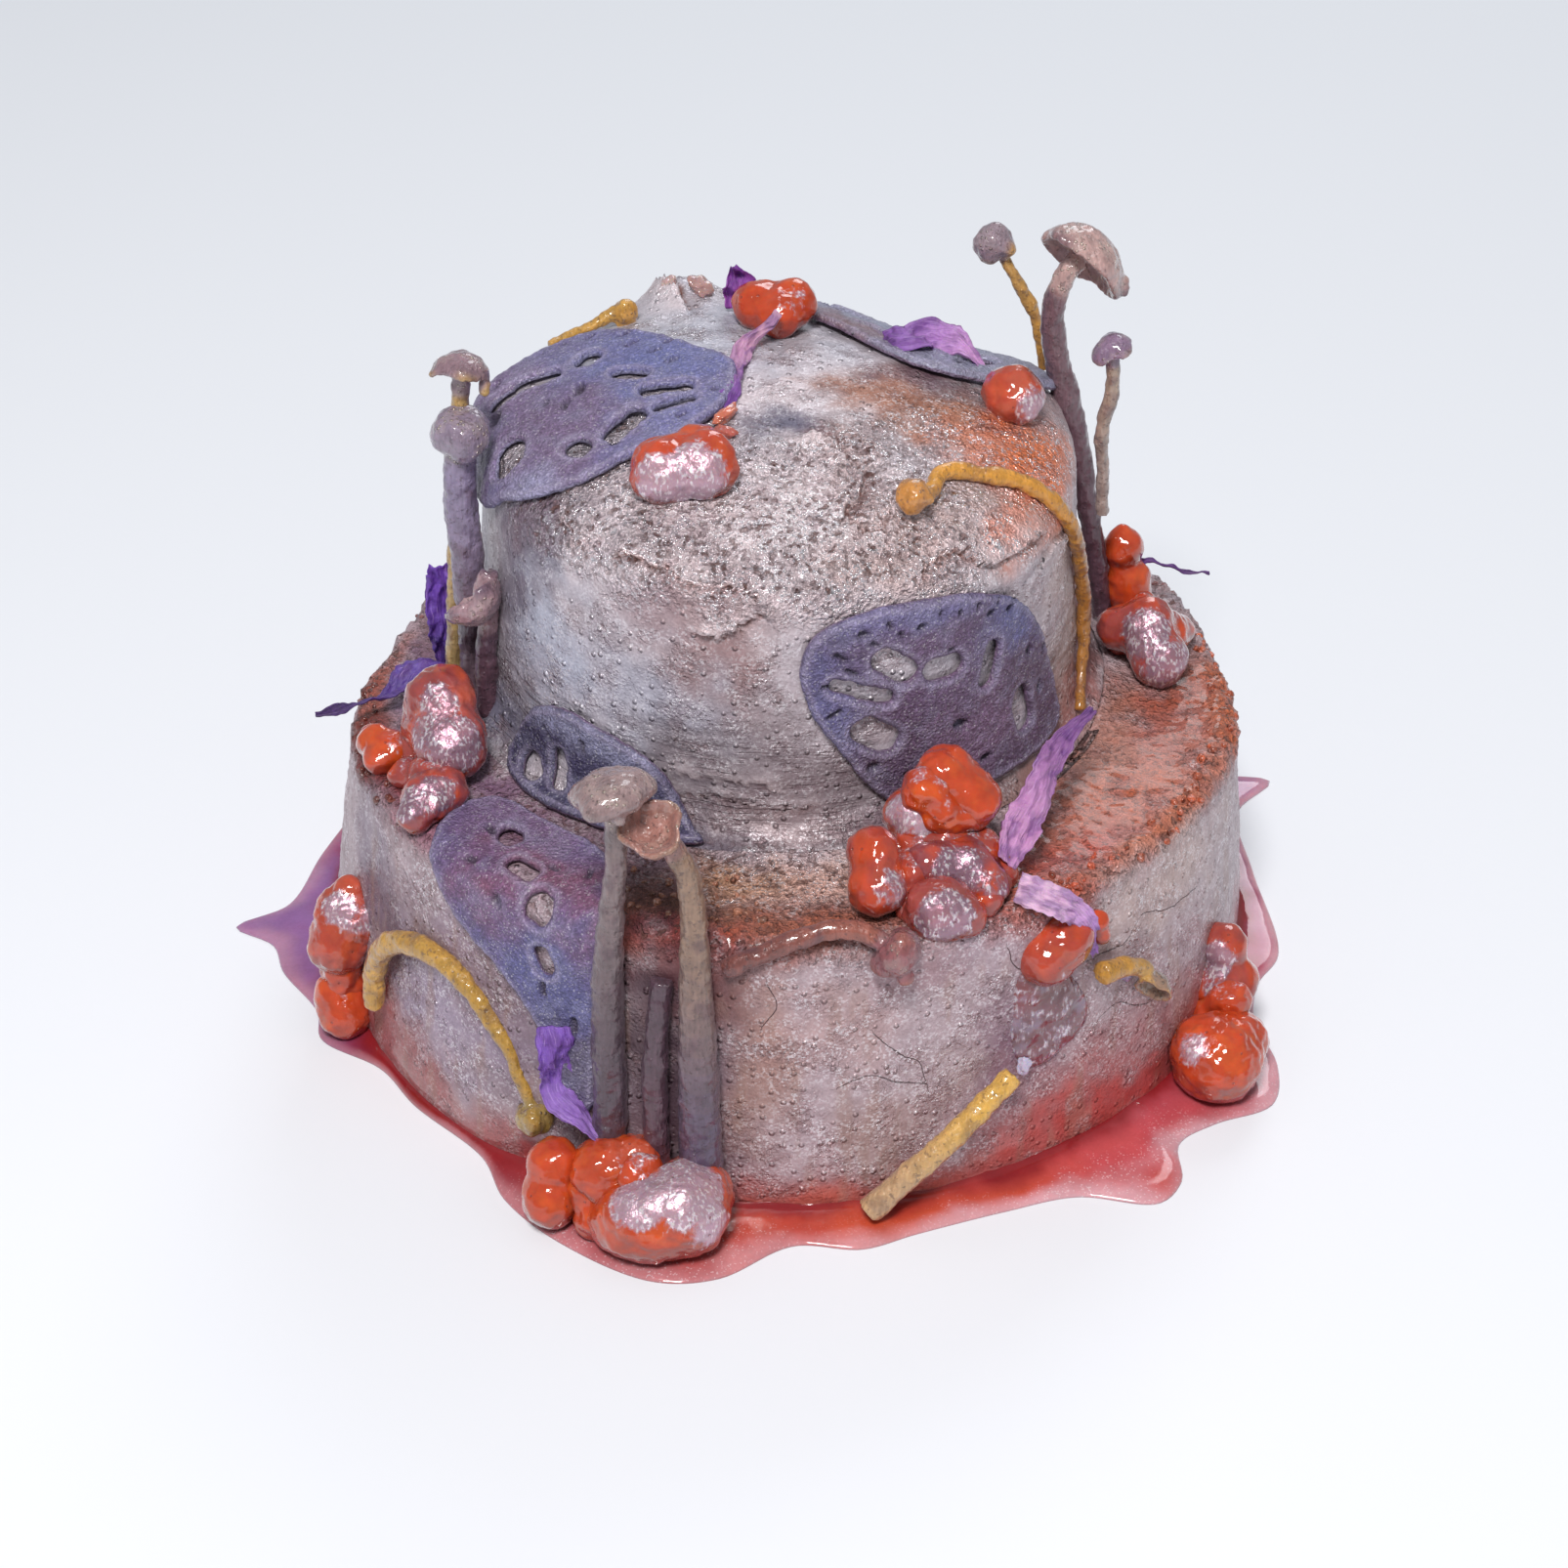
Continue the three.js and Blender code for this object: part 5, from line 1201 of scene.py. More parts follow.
# Pearl dust on the lumps, each (x, y, z, radius, strength) as seen from the middle of the lump
JELLY_DUST = {
    "jelly_top_back": [(3, -3, 4, 4, 0.4)],
    "jelly_top_front": [(1, -7, 1, 6.5, 1), (-4, -6, 0, 5, 0.9)],
    "jelly_top_right": [(3, -3, 0, 4, 0.7)],
    "jelly_left_tall": [(0, -4, 7, 4.5, 0.9), (3, -8, 1, 5.5, 1), (-2, -6, 2, 5, 0.7)],
    "jelly_left_low": [(2, -3, 4, 4.5, 1), (-3, -4, 2, 4, 0.8)],
    "jelly_left_rim": [(3, -3, 3, 3, 0.5)],
    "jelly_front_crown": [(-7, -5, 1, 5, 0.75), (-3, -6, -1, 3, 0.8)],
    "jelly_front_left": [(3, -5, 0, 4, 0.6)],
    "jelly_front_right": [(0, -4, 4, 5.5, 0.85), (5, -4, 0, 4, 0.6)],
    "jelly_front_bead": [(-1, -5, 2, 5.5, 1)],
    "jelly_right_peak": [(3, -4, -6, 3, 0.3)],
    "jelly_right_lobes": [(-2, -6, 4, 5.5, 0.8), (3, -9, -1, 6, 0.9)],
    "jelly_foot_left_high": [(0, -4, 5, 4.5, 0.8), (3, -3, 2, 4, 0.6)],
    "jelly_foot_left_low": [(1, -4, 4, 2.5, 0.3)],
    "jelly_foot_front_small": [(0, -4, 4, 2, 0.25)],
    "jelly_foot_front_left": [(1, -3, 5, 3, 0.35)],
    "jelly_foot_front_big": [(3, -3, 8, 8, 1), (-5, -4, 6, 6, 0.95), (7, -6, 2, 5, 0.8)],
    "jelly_foot_right_high": [(-3, -4, 3, 4.5, 0.85), (-2, -5, -3, 3.5, 0.6)],
    "jelly_foot_right_low": [(-6, -6, 5, 4, 0.65)],
    "jelly_wall_right": [(2, -4, -4, 4, 0.4)],
    "jelly_wall_bead": [],
}
# How brown-mauve the veiled lumps are
BERRY_SHARES = {
    "jelly_front_right": 0.9, "jelly_front_bead": 0.7, "jelly_left_tall": 0.75, "jelly_left_low": 0.85,
    "jelly_right_lobes": 0.7, "jelly_foot_right_high": 0.6, "jelly_front_left": 0.5, "jelly_top_front": 0.2,
    "jelly_wall_right": 0.4, "jelly_foot_left_high": 0.4, "jelly_top_right": 0.3, "jelly_front_crown": 0.1,
}
# How milky the paler lumps are
MILK_SHARES = {
    "jelly_top_right": 0.45, "jelly_left_tall": 0.3, "jelly_left_rim": 0.4, "jelly_foot_front_left": 0.3,
    "jelly_foot_front_big": 0.4, "jelly_foot_left_high": 0.35,
}


def jelly_tints(points, normals, seed, berry, milk):
    """Colours of clear jelly: glowing and clouded patches, and painted shade in deep red on the underside
    and along the lowest points.
    """
    cloud = fractal(points, 5, 3, seed=seed)
    low = points[:, 2] - points[:, 2].min()
    colours = np.tile(JELLY_ORANGE, (len(points), 1))
    colours = blended(colours, JELLY_GLOW, 0.6 * smoothstep(cloud, 0, 0.5))
    colours = blended(colours, JELLY_BERRY, berry * smoothstep(cloud, -0.6, 0.2))
    colours = blended(colours, JELLY_MILK, milk * smoothstep(-cloud, -0.2, 0.4))
    # Painted shade: deep red where the surface faces down, and near the lump's lowest points
    colours = blended(colours, JELLY_SHADE_RED, 0.85 * smoothstep(-normals[:, 2], -0.35, 0.6))
    return blended(colours, JELLY_SHADE_RED, 0.6 * (1 - smoothstep(low, 0, 2.5)))


def jelly_lump(name, at, lobes):
    bm = bmesh.new()
    large = max(lobe[3] for lobe in lobes) > LARGE_LOBE
    bmesh.ops.create_icosphere(bm, subdivisions=6 if large else 5, radius=1)
    ways = unit(coordinates(bm))
    total = np.zeros(len(ways))
    for *middle, radius in lobes:
        middle = np.array(middle, float)
        forward = ways @ middle
        aside = middle @ middle - forward**2
        total += np.exp(SHARPNESS * (forward + np.sqrt(np.maximum(radius**2 - aside, 0.1))))
    reach = np.log(total) / SHARPNESS
    reshaped(bm, ways * reach[:, None])
    for _ in range(LARGE_ROUNDS if large else SMALL_ROUNDS):
        bmesh.ops.smooth_vert(
            bm, verts=bm.verts, factor=0.5, use_axis_x=True, use_axis_y=True, use_axis_z=True)
    spot = coordinates(bm)
    seed = len(name) + at[0]
    knobs = 0.5 * fractal(spot, 4.2, 2, seed=seed) + 0.16 * fractal(spot, 1.5, 2, seed=seed + 3) + 0.15
    points = np.array(at) + spot + ways * knobs[:, None]
    points[:, 2] = np.maximum(points[:, 2], 0)
    mesh = mesh_of(reshaped(bm, points), name)
    normals = normals_of(mesh)
    dust = np.zeros(len(points))
    for x, y, z, radius, strength in JELLY_DUST[name]:
        away = np.linalg.norm(points - at - (x, y, z), axis=1)
        dust = np.maximum(dust, strength * (1 - smoothstep(away, 0.45 * radius, 1.35 * radius)))
    berry = BERRY_SHARES.get(name, 0.1)
    colours = jelly_tints(points, normals, seed + 5, berry, MILK_SHARES.get(name, 0.1))
    paint(mesh, colours, dust=dust, berry=np.full(len(points), berry))
    piece(name + "_lump", mesh, FINISHES["jelly"], "jelly", name)


# --- Mushrooms -------------------------------------------------------------------------------------

# Cap sections (radius, height) in shares of the cap's radius and height, and how far up the cap the
# stem ends
CAPS = {
    "button": dict(
        section=[(0, 0.15), (0.6, 0), (0.96, 0.22), (0.98, 0.5), (0.66, 0.88), (0, 1)], root=0.4),
    "bell": dict(
        section=[(0, 0.42), (0.6, 0.3), (0.93, 0), (1, 0.12), (0.8, 0.62), (0.42, 0.93), (0, 1)],
        root=0.65),
    "cup": dict(
        section=[(0, 0), (0.45, 0.12), (0.8, 0.5), (1, 0.95), (0.9, 1), (0.5, 0.55), (0, 0.42)],
        root=0.2),
}

# Mushrooms: points along the stem, or (azimuth, run, lift) on the cake, the stem's radii from its foot
# to its top, and the cap
MUSHROOMS = {
    "mushroom_left_far": dict(
        points=[(-59.5, -12, 56), (-58, -12, 78.5), (-56.5, -12, 98), (-55.5, -12, 112), (-55, -12, 120)],
        radii=(1.8, 1.6, 1.7, 1.4),
        cap=dict(kind="bell", at=(-54.8, -12, 121.8), axis=(0.1, 0.45, 1), radius=5, height=4.6),
    ),
    "mushroom_left_near": dict(
        points=[
            (-56, -14, 56.5), (-55.5, -14.5, 76), (-55.5, -15, 87.5), (-56, -15, 96.5), (-55.5, -15, 108),
        ],
        radii=(2, 2.3, 2.9, 3, 2.6),
        cap=dict(kind="button", at=(-55.2, -15, 111), axis=(0.1, -0.2, 1), radius=5.1, height=7.5),
    ),
    "mushroom_left_bent": dict(
        points=[
            (-52.5, -20, 57.5), (-52.5, -19.5, 70), (-51.5, -19.5, 80), (-51.5, -19.5, 86),
            (-52.5, -20.5, 83),
        ],
        radii=(2.2, 2, 1.7, 1.5),
        cap=dict(kind="bell", at=(-53, -21.5, 80.5), axis=(0.65, -0.3, -0.75), radius=5.6, height=5.4),
    ),
    "mushroom_back": dict(
        points=[(-43, 19.5, 109), (-38.5, 23, 109.5), (-33.5, 25.5, 111), (-31, 26.5, 112)],
        radii=(0.9, 1, 1.4),
        cap=dict(kind="button", at=(-29.5, 27, 111.6), axis=(1, 0.3, -0.25), radius=2.6, height=4),
        golden=True,
    ),
    "mushroom_right_tall": dict(
        points=[
            (57.5, 15, 57), (56, 15, 67), (52.8, 15.5, 82.5), (50.3, 16.5, 94.5), (48.2, 16.5, 102),
            (45.8, 16.5, 111), (45, 16, 119), (47, 16, 126),
        ],
        radii=(1.9, 1.9, 2.1, 2.5, 2.1, 1.9),
        cap=dict(kind="bell", at=(50.7, 17.6, 129.4), axis=(0.62, 0.47, 0.62), radius=8.3, height=6.9),
    ),
    "mushroom_right_golden": dict(
        points=[(44.8, 24.5, 102.5), (43.5, 25, 110.5), (42, 25, 114.5), (39, 25, 120), (35.8, 25, 125.5)],
        radii=(1.2, 1.2, 0.9),
        cap=dict(kind="button", at=(34.6, 25, 127.3), axis=(-0.5, -0.3, 0.9), radius=3.6, height=6),
        golden=True,
    ),
    "mushroom_right_small": dict(
        points=[(55, 6, 84), (54.3, 5, 95), (53.7, 4, 102), (55, 4, 109), (54.6, 4, 116)],
        radii=(1.2, 1.2, 1.3, 1.1),
        cap=dict(kind="bell", at=(54, 4, 118.3), axis=(-0.45, -0.1, 0.88), radius=3.7, height=3.2),
    ),
    "mushroom_draped": dict(
        on_skin=[
            (-19, 97, 1), (-12, 91, 1.2), (-9, 83, 1.3), (-11, 74, 1.4), (-15, 66, 1.4), (-20, 57, 1.4),
            (-24, 50.5, 1.4), (-28, 45, 1.4), (-34, 40.5, 1.4), (-42, 36.5, 1.4), (-51, 39, 1.6),
        ],
        radii=(0.9, 1.3, 1.4, 1.5, 1.5),
        cap=dict(kind="button", at=(19.6, -35, 111), axis=(-0.5, -0.6, 0.5), radius=3, height=5.2),
        golden=True,
    ),
    "mushroom_front_left": dict(
        points=[
            (-29.5, -82.5, 14), (-29, -82, 22), (-29, -81.5, 42), (-28, -82.5, 61), (-27, -83.5, 71),
            (-26.8, -84, 82),
        ],
        radii=(3, 2.9, 2.6, 1.9, 1.7),
        cap=dict(kind="button", at=(-27.4, -83.8, 86.6), axis=(-0.2, 0.2, 1), radius=6.6, height=6),
    ),
    "mushroom_front_right": dict(
        points=[
            (-13.8, -86.5, 5), (-14, -86, 24), (-14.5, -84.8, 48), (-14.8, -84.6, 63), (-15.8, -84.8, 72),
            (-18.4, -85, 77.5),
        ],
        radii=(3.8, 3.6, 3, 2.2, 1.9),
        cap=dict(kind="cup", at=(-20.6, -85.8, 79.8), axis=(-0.15, -0.45, 0.85), radius=5.1, height=5.4),
    ),
    "mushroom_front_stub": dict(
        points=[(-20.8, -85, 10.5), (-21.5, -84, 22), (-21, -83.2, 37), (-20, -82, 48)],
        radii=(2.2, 2.2, 1.9),
    ),
    "mushroom_ledge": dict(
        points=[(-10, -83.5, 51.5), (-3.5, -83.6, 55), (4, -82, 57.6), (10, -81.2, 58), (15, -82, 56.6)],
        radii=(1.7, 1.7, 1.6, 1.5),
        cap=dict(kind="button", at=(18, -83, 54.6), axis=(0.75, -0.3, -0.5), radius=4.4, height=6),
    ),
    "mushroom_arch": dict(
        points=[
            (-72.5, -47.5, 14), (-71.5, -48.5, 23), (-69, -51.5, 30), (-65, -55.5, 34.2),
            (-59.5, -60.5, 35.6), (-54.5, -65, 34), (-50, -69, 29.5), (-46.3, -72, 24.5),
            (-44.2, -74, 19),
        ],
        radii=(1.9, 2.2, 2, 1.5, 1.3),
        cap=dict(kind="button", at=(-42, -76.5, 13.2), axis=(0.35, -0.3, -0.9), radius=3.8, height=5.4),
        golden=True,
    ),
    "mushroom_curl": dict(
        points=[(52.5, -67, 38.2), (56.5, -63.8, 37.2), (60, -61, 34.8), (62.5, -59.5, 31.5)],
        radii=(1.9, 1.7, 1.3),
        cap=dict(kind="cup", at=(62.8, -60, 31), axis=(-0.35, -0.75, -0.45), radius=3.4, height=4),
        golden=True,
    ),
    "mushroom_leaning": dict(
        points=[(38, -78.2, 25.5), (26.8, -84.2, 15.4), (14.2, -87.8, 3.2)],
        radii=(1.9, 2.1, 2.3),
        golden=True,
    ),
}
GRAPE = (0.1, 0.05, 0.07)
DUSK = (0.17, 0.12, 0.15)
AMBER = (0.52, 0.26, 0.05)
OCHRE = (0.56, 0.31, 0.07)
STRAW = (0.42, 0.29, 0.13)

# Colours of each mushroom: foot of the stem, top of the stem, cap
MUSHROOM_COLOURS = {
    "mushroom_left_far": (STRAW, (0.52, 0.33, 0.12), (0.27, 0.17, 0.2)),
    "mushroom_left_near": (DUSK, (0.25, 0.2, 0.31), (0.26, 0.2, 0.27)),
    "mushroom_left_bent": (GRAPE, (0.12, 0.08, 0.12), (0.4, 0.25, 0.28)),
    "mushroom_back": (OCHRE, OCHRE, AMBER),
    "mushroom_right_tall": (GRAPE, (0.18, 0.1, 0.12), (0.5, 0.32, 0.3)),
    "mushroom_right_golden": (AMBER, (0.56, 0.32, 0.1), (0.3, 0.22, 0.26)),
    "mushroom_right_small": ((0.36, 0.27, 0.24), (0.38, 0.28, 0.22), (0.25, 0.16, 0.25)),
    "mushroom_draped": ((0.36, 0.15, 0.03), (0.66, 0.31, 0.05), (0.56, 0.24, 0.05)),
    "mushroom_front_left": ((0.09, 0.06, 0.08), (0.22, 0.16, 0.16), (0.31, 0.21, 0.21)),
    "mushroom_front_right": ((0.1, 0.07, 0.12), (0.3, 0.19, 0.13), (0.38, 0.18, 0.15)),
    "mushroom_front_stub": (GRAPE, (0.09, 0.05, 0.07), GRAPE),
    "mushroom_ledge": ((0.2, 0.07, 0.06), (0.33, 0.11, 0.08), (0.26, 0.09, 0.1)),
    "mushroom_arch": (OCHRE, (0.44, 0.25, 0.05), (0.34, 0.22, 0.06)),
    "mushroom_curl": (AMBER, OCHRE, (0.3, 0.18, 0.12)),
    "mushroom_leaning": ((0.66, 0.38, 0.08), (0.52, 0.33, 0.18), OCHRE),
}
# Drops of the wet coat that hang from a cap: how far from the cap's middle, and radius
DROPS = {
    "mushroom_right_tall": [(5.6, -2.2, -4.6, 1.3), (5.9, -2.4, -5.8, 1.1), (6.2, -2.5, -6.8, 0.8)],
    "mushroom_left_far": [(3.8, -1.6, -2.6, 1.1), (3.7, -1.8, -3.8, 0.9)],
    "mushroom_front_left": [(1.5, -4.5, -2, 1.3)],
    "mushroom_ledge": [(1.0, -1.5, -3.4, 1.5)],
}
STEM_STEPS = 60
STEM_SIDES = 16
CAP_STEPS = 32
VOXEL = 0.34


def tube(points, radii):
    """A stem along given points, as a bmesh, and the curve that it follows."""
    curve = along(curve_through(points), np.linspace(0, 1, STEM_STEPS + 1))
    section = [(0, 0)] + [(1, k) for k in range(STEM_STEPS + 1)] + [(0, STEM_STEPS)]
    bm = spun(section, STEM_SIDES)
    flat = coordinates(bm)
    step = np.rint(flat[:, 2]).astype(int)
    tangents = unit(np.gradient(curve, axis=0))
    side = Vector(tangents[0]).orthogonal()
    sides = []
    for tangent in tangents:
        side = (side - Vector(tangent) * side.dot(Vector(tangent))).normalized()
        sides.append(side.copy())
    sides = np.array(sides)
    others = np.cross(tangents, sides)
    radius = np.interp(step / STEM_STEPS, np.linspace(0, 1, len(radii)), radii)
    points = curve[step] + radius[:, None] * (flat[:, :1] * sides[step] + flat[:, 1:2] * others[step])
    return reshaped(bm, points), curve


def cap_shape(kind, at, axis, radius, height):
    """A cap with an uneven edge, as a bmesh."""
    section = curve_through(CAPS[kind]["section"], spans=6)
    section = np.column_stack([np.maximum(section[:, 0], 0), section[:, 1]])
    section[0, 0] = section[-1, 0] = 0
    bm = spun(section, CAP_STEPS)
    flat = coordinates(bm)
    share = np.hypot(flat[:, 0], flat[:, 1])
    turn = np.arctan2(flat[:, 1], flat[:, 0])
    frill = 0.09 * np.sin(3 * turn + radius) + 0.06 * np.sin(5 * turn + 2 * height)
    spread = 1 + frill * share
    points = flat * (radius, radius, height) * np.column_stack([spread, spread, np.ones(len(flat))])
    points[:, 2] -= height * (0.5 + 0.5 * frill * share**2)
    spin = Vector((0, 0, 1)).rotation_difference(Vector(axis)).to_matrix()
    return reshaped(bm, points @ np.array(spin).T + at)


def fused(bm, name, rounds=4):
    """The mesh of overlapping shapes melted into one."""
    mesh = mesh_of(bm, name)
    holder = bpy.data.objects.new(name, mesh)
    bpy.context.scene.collection.objects.link(holder)
    melt = holder.modifiers.new("melt", "REMESH")
    melt.mode = "VOXEL"
    melt.voxel_size = VOXEL * MM
    smooth = holder.modifiers.new("smooth", "SMOOTH")
    smooth.iterations = rounds
    graph = bpy.context.evaluated_depsgraph_get()
    made = bpy.data.meshes.new_from_object(holder.evaluated_get(graph))
    made.name = name
    bpy.data.objects.remove(holder)
    bpy.data.meshes.remove(mesh)
    return made


def mushroom(name, points=None, on_skin=None, radii=(), cap=None, golden=False):
    if on_skin:
        points = [skin(*spot) for spot in on_skin]
    points = [np.array(point, float) for point in points]
    if cap:
        axis = np.array(cap["axis"], float)
        axis /= np.linalg.norm(axis)
        root = (CAPS[cap["kind"]]["root"] - 0.5) * cap["height"]
        points.append(np.array(cap["at"]) + axis * root)
    bm, curve = tube(points, radii)
    if cap:
        shape = cap_shape(**cap)
        loose = bpy.data.meshes.new("cap")
        shape.to_mesh(loose)
        shape.free()
        bm.from_mesh(loose)
        bpy.data.meshes.remove(loose)
    for *away, radius in DROPS.get(name, []):
        bmesh.ops.create_icosphere(
            bm, subdivisions=3, radius=radius, matrix=Matrix.Translation(Vector(cap["at"]) + Vector(away)))
    mesh = fused(bm, name)
    found = points_of(mesh)
    seed = len(name) + points[0][0]
    knobs = 0.32 * fractal(found, 3.2, 2, seed=seed) + 0.13 * fractal(found, 1.1, 2, seed=seed + 2)
    found = found + normals_of(mesh) * knobs[:, None]
    found[:, 2] = np.maximum(found[:, 2], FLOOR_CLEARANCE)
    move_points(mesh, found)
    away = np.linalg.norm(found[:, None, :] - curve[None, ::3, :], axis=2)
    share = away.argmin(axis=1) / (away.shape[1] - 1)
    foot, top, crown = MUSHROOM_COLOURS[name]
    colours = blended(np.tile(foot, (len(found), 1)), top, smoothstep(share, 0.15, 0.85))
    crown_share = np.zeros(len(found))
    if cap:
        near = np.linalg.norm(found - cap["at"], axis=1) / max(cap["radius"], cap["height"] / 2)
        crown_share = 1 - smoothstep(near, 0.95, 1.25)
        colours = blended(colours, crown, crown_share)
    stain = (0.3 if golden else 0.5) * smoothstep(fractal(found, 4, 3, seed=seed + 4), 0.1, 0.6)
    colours = blended(colours, GRAPE, stain * (1 - 0.6 * crown_share))
    paint(mesh, colours, crown=crown_share)
    kind = "golden" if golden else "lilac"
    piece(name + "_fused", mesh, FINISHES[kind], kind, name)


# --- Petals ----------------------------------------------------------------------------------------

# Petals: points along the middle line, widths along it, a direction across it, and how far it waves
PETALS = {
    "petal_top_back": dict(
        points=[(-9.7, 28, 112.5), (-9.6, 28, 117), (-10.6, 28, 120.8)],
        widths=(5, 6, 1), side=(1, 0, 0),
    ),
    "petal_top_strip": dict(
        points=[
            (-2.5, 13.5, 119), (-5, 12.5, 116.5), (-8, 9.5, 114.6), (-9.5, 3, 114.6), (-10.2, -6, 114.4),
            (-13, -13.5, 113.8),
        ],
        widths=(1, 2, 3.6, 3.2, 2.4, 3.4, 2), side=(1, 0.3, 0),
    ),
    "petal_top_right": dict(
        points=[(16, 16, 111.8), (20, 14.5, 113.4), (24, 17, 113.6), (29, 15, 112), (34, 11.5, 109.4)],
        widths=(3, 7, 6, 4, 2), side=(0, 1, 0.5), wave=1.2,
    ),
    "petal_left_tuft": dict(
        points=[(-61, -7, 56), (-61.5, -7, 67), (-61.5, -7, 80)],
        widths=(2, 4.5, 5.5, 3.5), side=(1, 0.2, 0),
    ),
    "petal_left_flat": dict(
        points=[
            (-62.5, -9, 61), (-66, -12, 60.6), (-70, -16, 59.6), (-76, -19.5, 58.4), (-83, -20.5, 57.6),
        ],
        widths=(5, 6, 2.4, 1.4, 0.8), side=(0.6, -0.8, 0),
    ),
    "petal_front_long": dict(
        points=[
            (35.7, -66.5, 60.6), (38.2, -61, 63.5), (40.7, -56, 66.8), (43.2, -51, 70), (46.7, -45, 71.9),
            (50.8, -40, 72.9),
        ],
        widths=(4, 6.5, 5.5, 5, 3.4, 1.6), side=(1, 0.6, 0),
    ),
    "petal_front_rim": dict(
        points=[(37.5, -69.5, 58), (41, -71, 57.6), (45.6, -72, 56), (49, -70, 51), (51.5, -67, 42)],
        widths=(5, 5.4, 4.4, 3.2, 1.2), side=(0.6, 0.5, 0.6), wave=0.5,
    ),
    "petal_foot": dict(
        points=[
            (-38.2, -79.5, 35.8), (-37.6, -80.5, 26.7), (-38, -80.8, 22.4), (-33.5, -83.5, 18.8),
            (-30.4, -85.5, 17.2),
        ],
        widths=(5, 7.4, 4.6, 4.8, 2), side=(1, 0.4, 0), wave=1.1,
    ),
    "petal_right_thread": dict(
        points=[(64, 19, 66.2), (68.5, 19, 65.4), (73, 19, 64.2), (77, 19, 63.8)],
        widths=(1.2, 0.8, 0.8), side=(0, 1, 0), wave=0.2,
    ),
}
# Colours of each petal at its start and its end
PETAL_COLOURS = {
    "petal_top_back": ((0.26, 0.05, 0.3), (0.2, 0.05, 0.3)),
    "petal_top_strip": ((0.5, 0.28, 0.4), (0.16, 0.05, 0.3)),
    "petal_top_right": ((0.26, 0.12, 0.4), (0.56, 0.3, 0.58)),
    "petal_left_tuft": ((0.06, 0.03, 0.18), (0.16, 0.06, 0.4)),
    "petal_left_flat": ((0.12, 0.07, 0.3), (0.06, 0.03, 0.11)),
    "petal_front_long": ((0.5, 0.24, 0.46), (0.2, 0.08, 0.25)),
    "petal_front_rim": ((0.66, 0.42, 0.6), (0.4, 0.2, 0.54)),
    "petal_foot": ((0.2, 0.09, 0.42), (0.3, 0.16, 0.48)),
    "petal_right_thread": ((0.1, 0.04, 0.16), (0.08, 0.03, 0.12)),
}
PETAL_COLUMNS = 14
PETAL_ROW = 0.35
# Share of the length over which a petal's direction is taken
DIRECTION_STEP = 0.01


def petal(name, points, widths, side, wave=0.7):
    curve = curve_through(points)
    length = np.linalg.norm(np.diff(curve, axis=0), axis=1).sum()
    rows = int(length / PETAL_ROW)
    bm = bmesh.new()
    bmesh.ops.create_grid(bm, x_segments=PETAL_COLUMNS, y_segments=rows, size=0.5)
    thickened(bm)
    bmesh.ops.recalc_face_normals(bm, faces=bm.faces)
    ribbon = bm.loops.layers.uv.new("ribbon")
    for face in bm.faces:
        for loop in face.loops:
            loop[ribbon].uv = (loop.vert.co.x * max(widths), (loop.vert.co.y + 0.5) * length)
    flat = coordinates(bm)
    share = np.clip(flat[:, 1] + 0.5, 0, 1)
    place = along(curve, share)
    ahead = along(curve, np.clip(share + DIRECTION_STEP, 0, 1))
    behind = along(curve, np.clip(share - DIRECTION_STEP, 0, 1))
    ways = unit(ahead - behind)
    side = np.array(side, float)
    across = unit(side - ways * (ways @ side)[:, None])
    normal = np.cross(ways, across)
    sideways = flat[:, 0]
    rag = 1 + 0.16 * fractal(np.column_stack([sideways > 0, share * length, share]), 1.3, 2, seed=7)
    width = np.interp(share, np.linspace(0, 1, len(widths)), widths) * rag
    curl = wave * np.sin(share * 11 + 2.4 * sideways)
    drawn_out = np.column_stack([sideways * width, share * length * 0.5, share])
    crinkle = 0.8 * fractal(drawn_out, 1.3, 2, seed=2)
    wander = 4 * fractal(np.column_stack([share * length, sideways, share]), 5, 2, seed=11)
    folds = 0.32 * np.sin(sideways * 15 + 2 * np.sin(share * 7) + wander) * np.minimum(width, 4) / 4
    lift = curl + (crinkle + folds) + (flat[:, 2] - 0.5) * 0.5 * PETAL_THICKNESS
    spot = place + across * (sideways * width)[:, None] + normal * lift[:, None]
    mesh = mesh_of(reshaped(bm, spot), name)
    start, end = PETAL_COLOURS[name]
    colours = blended(np.tile(start, (len(flat), 1)), end, smoothstep(share, 0.1, 0.95))
    colours = blended(colours, (0.1, 0.03, 0.18), 0.5 * smoothstep(crinkle, 0.0, 0.3))
    paint(mesh, colours)
    piece(name + "_ribbon", mesh, FINISHES["petal"], "petal", name)


# --- Syrup -----------------------------------------------------------------------------------------

# Edge of the syrup on the floor: azimuth, radius
SYRUP_EDGE = [
    (-8, 93), (-14, 90), (-21, 91.5), (-27, 99), (-33, 102.5), (-39, 97), (-44, 95.5), (-48, 102),
    (-52, 103.5), (-58, 94.5), (-66, 92), (-76, 92.5), (-82, 94.5), (-89, 93), (-96, 101.5), (-102, 104),
    (-112, 100), (-120, 95), (-126, 88.7), (-138, 87.5), (-146, 87), (-154, 93), (-159, 91.5),
    (-167, 95.5), (-172, 97), (-175.5, 104), (-179, 95), (170, 91.5), (156, 90), (135, 92), (112, 89),
    (88, 91), (62, 89.5), (40, 92), (28, 97), (24, 106), (20, 95), (8, 91),
]
SYRUP_STEPS = 480
# How far the syrup reaches into the cake's foot
SYRUP_OVERLAP = 0.4
BURGUNDY = (0.24, 0.014, 0.018)
PINK_EDGE = (0.66, 0.36, 0.4)
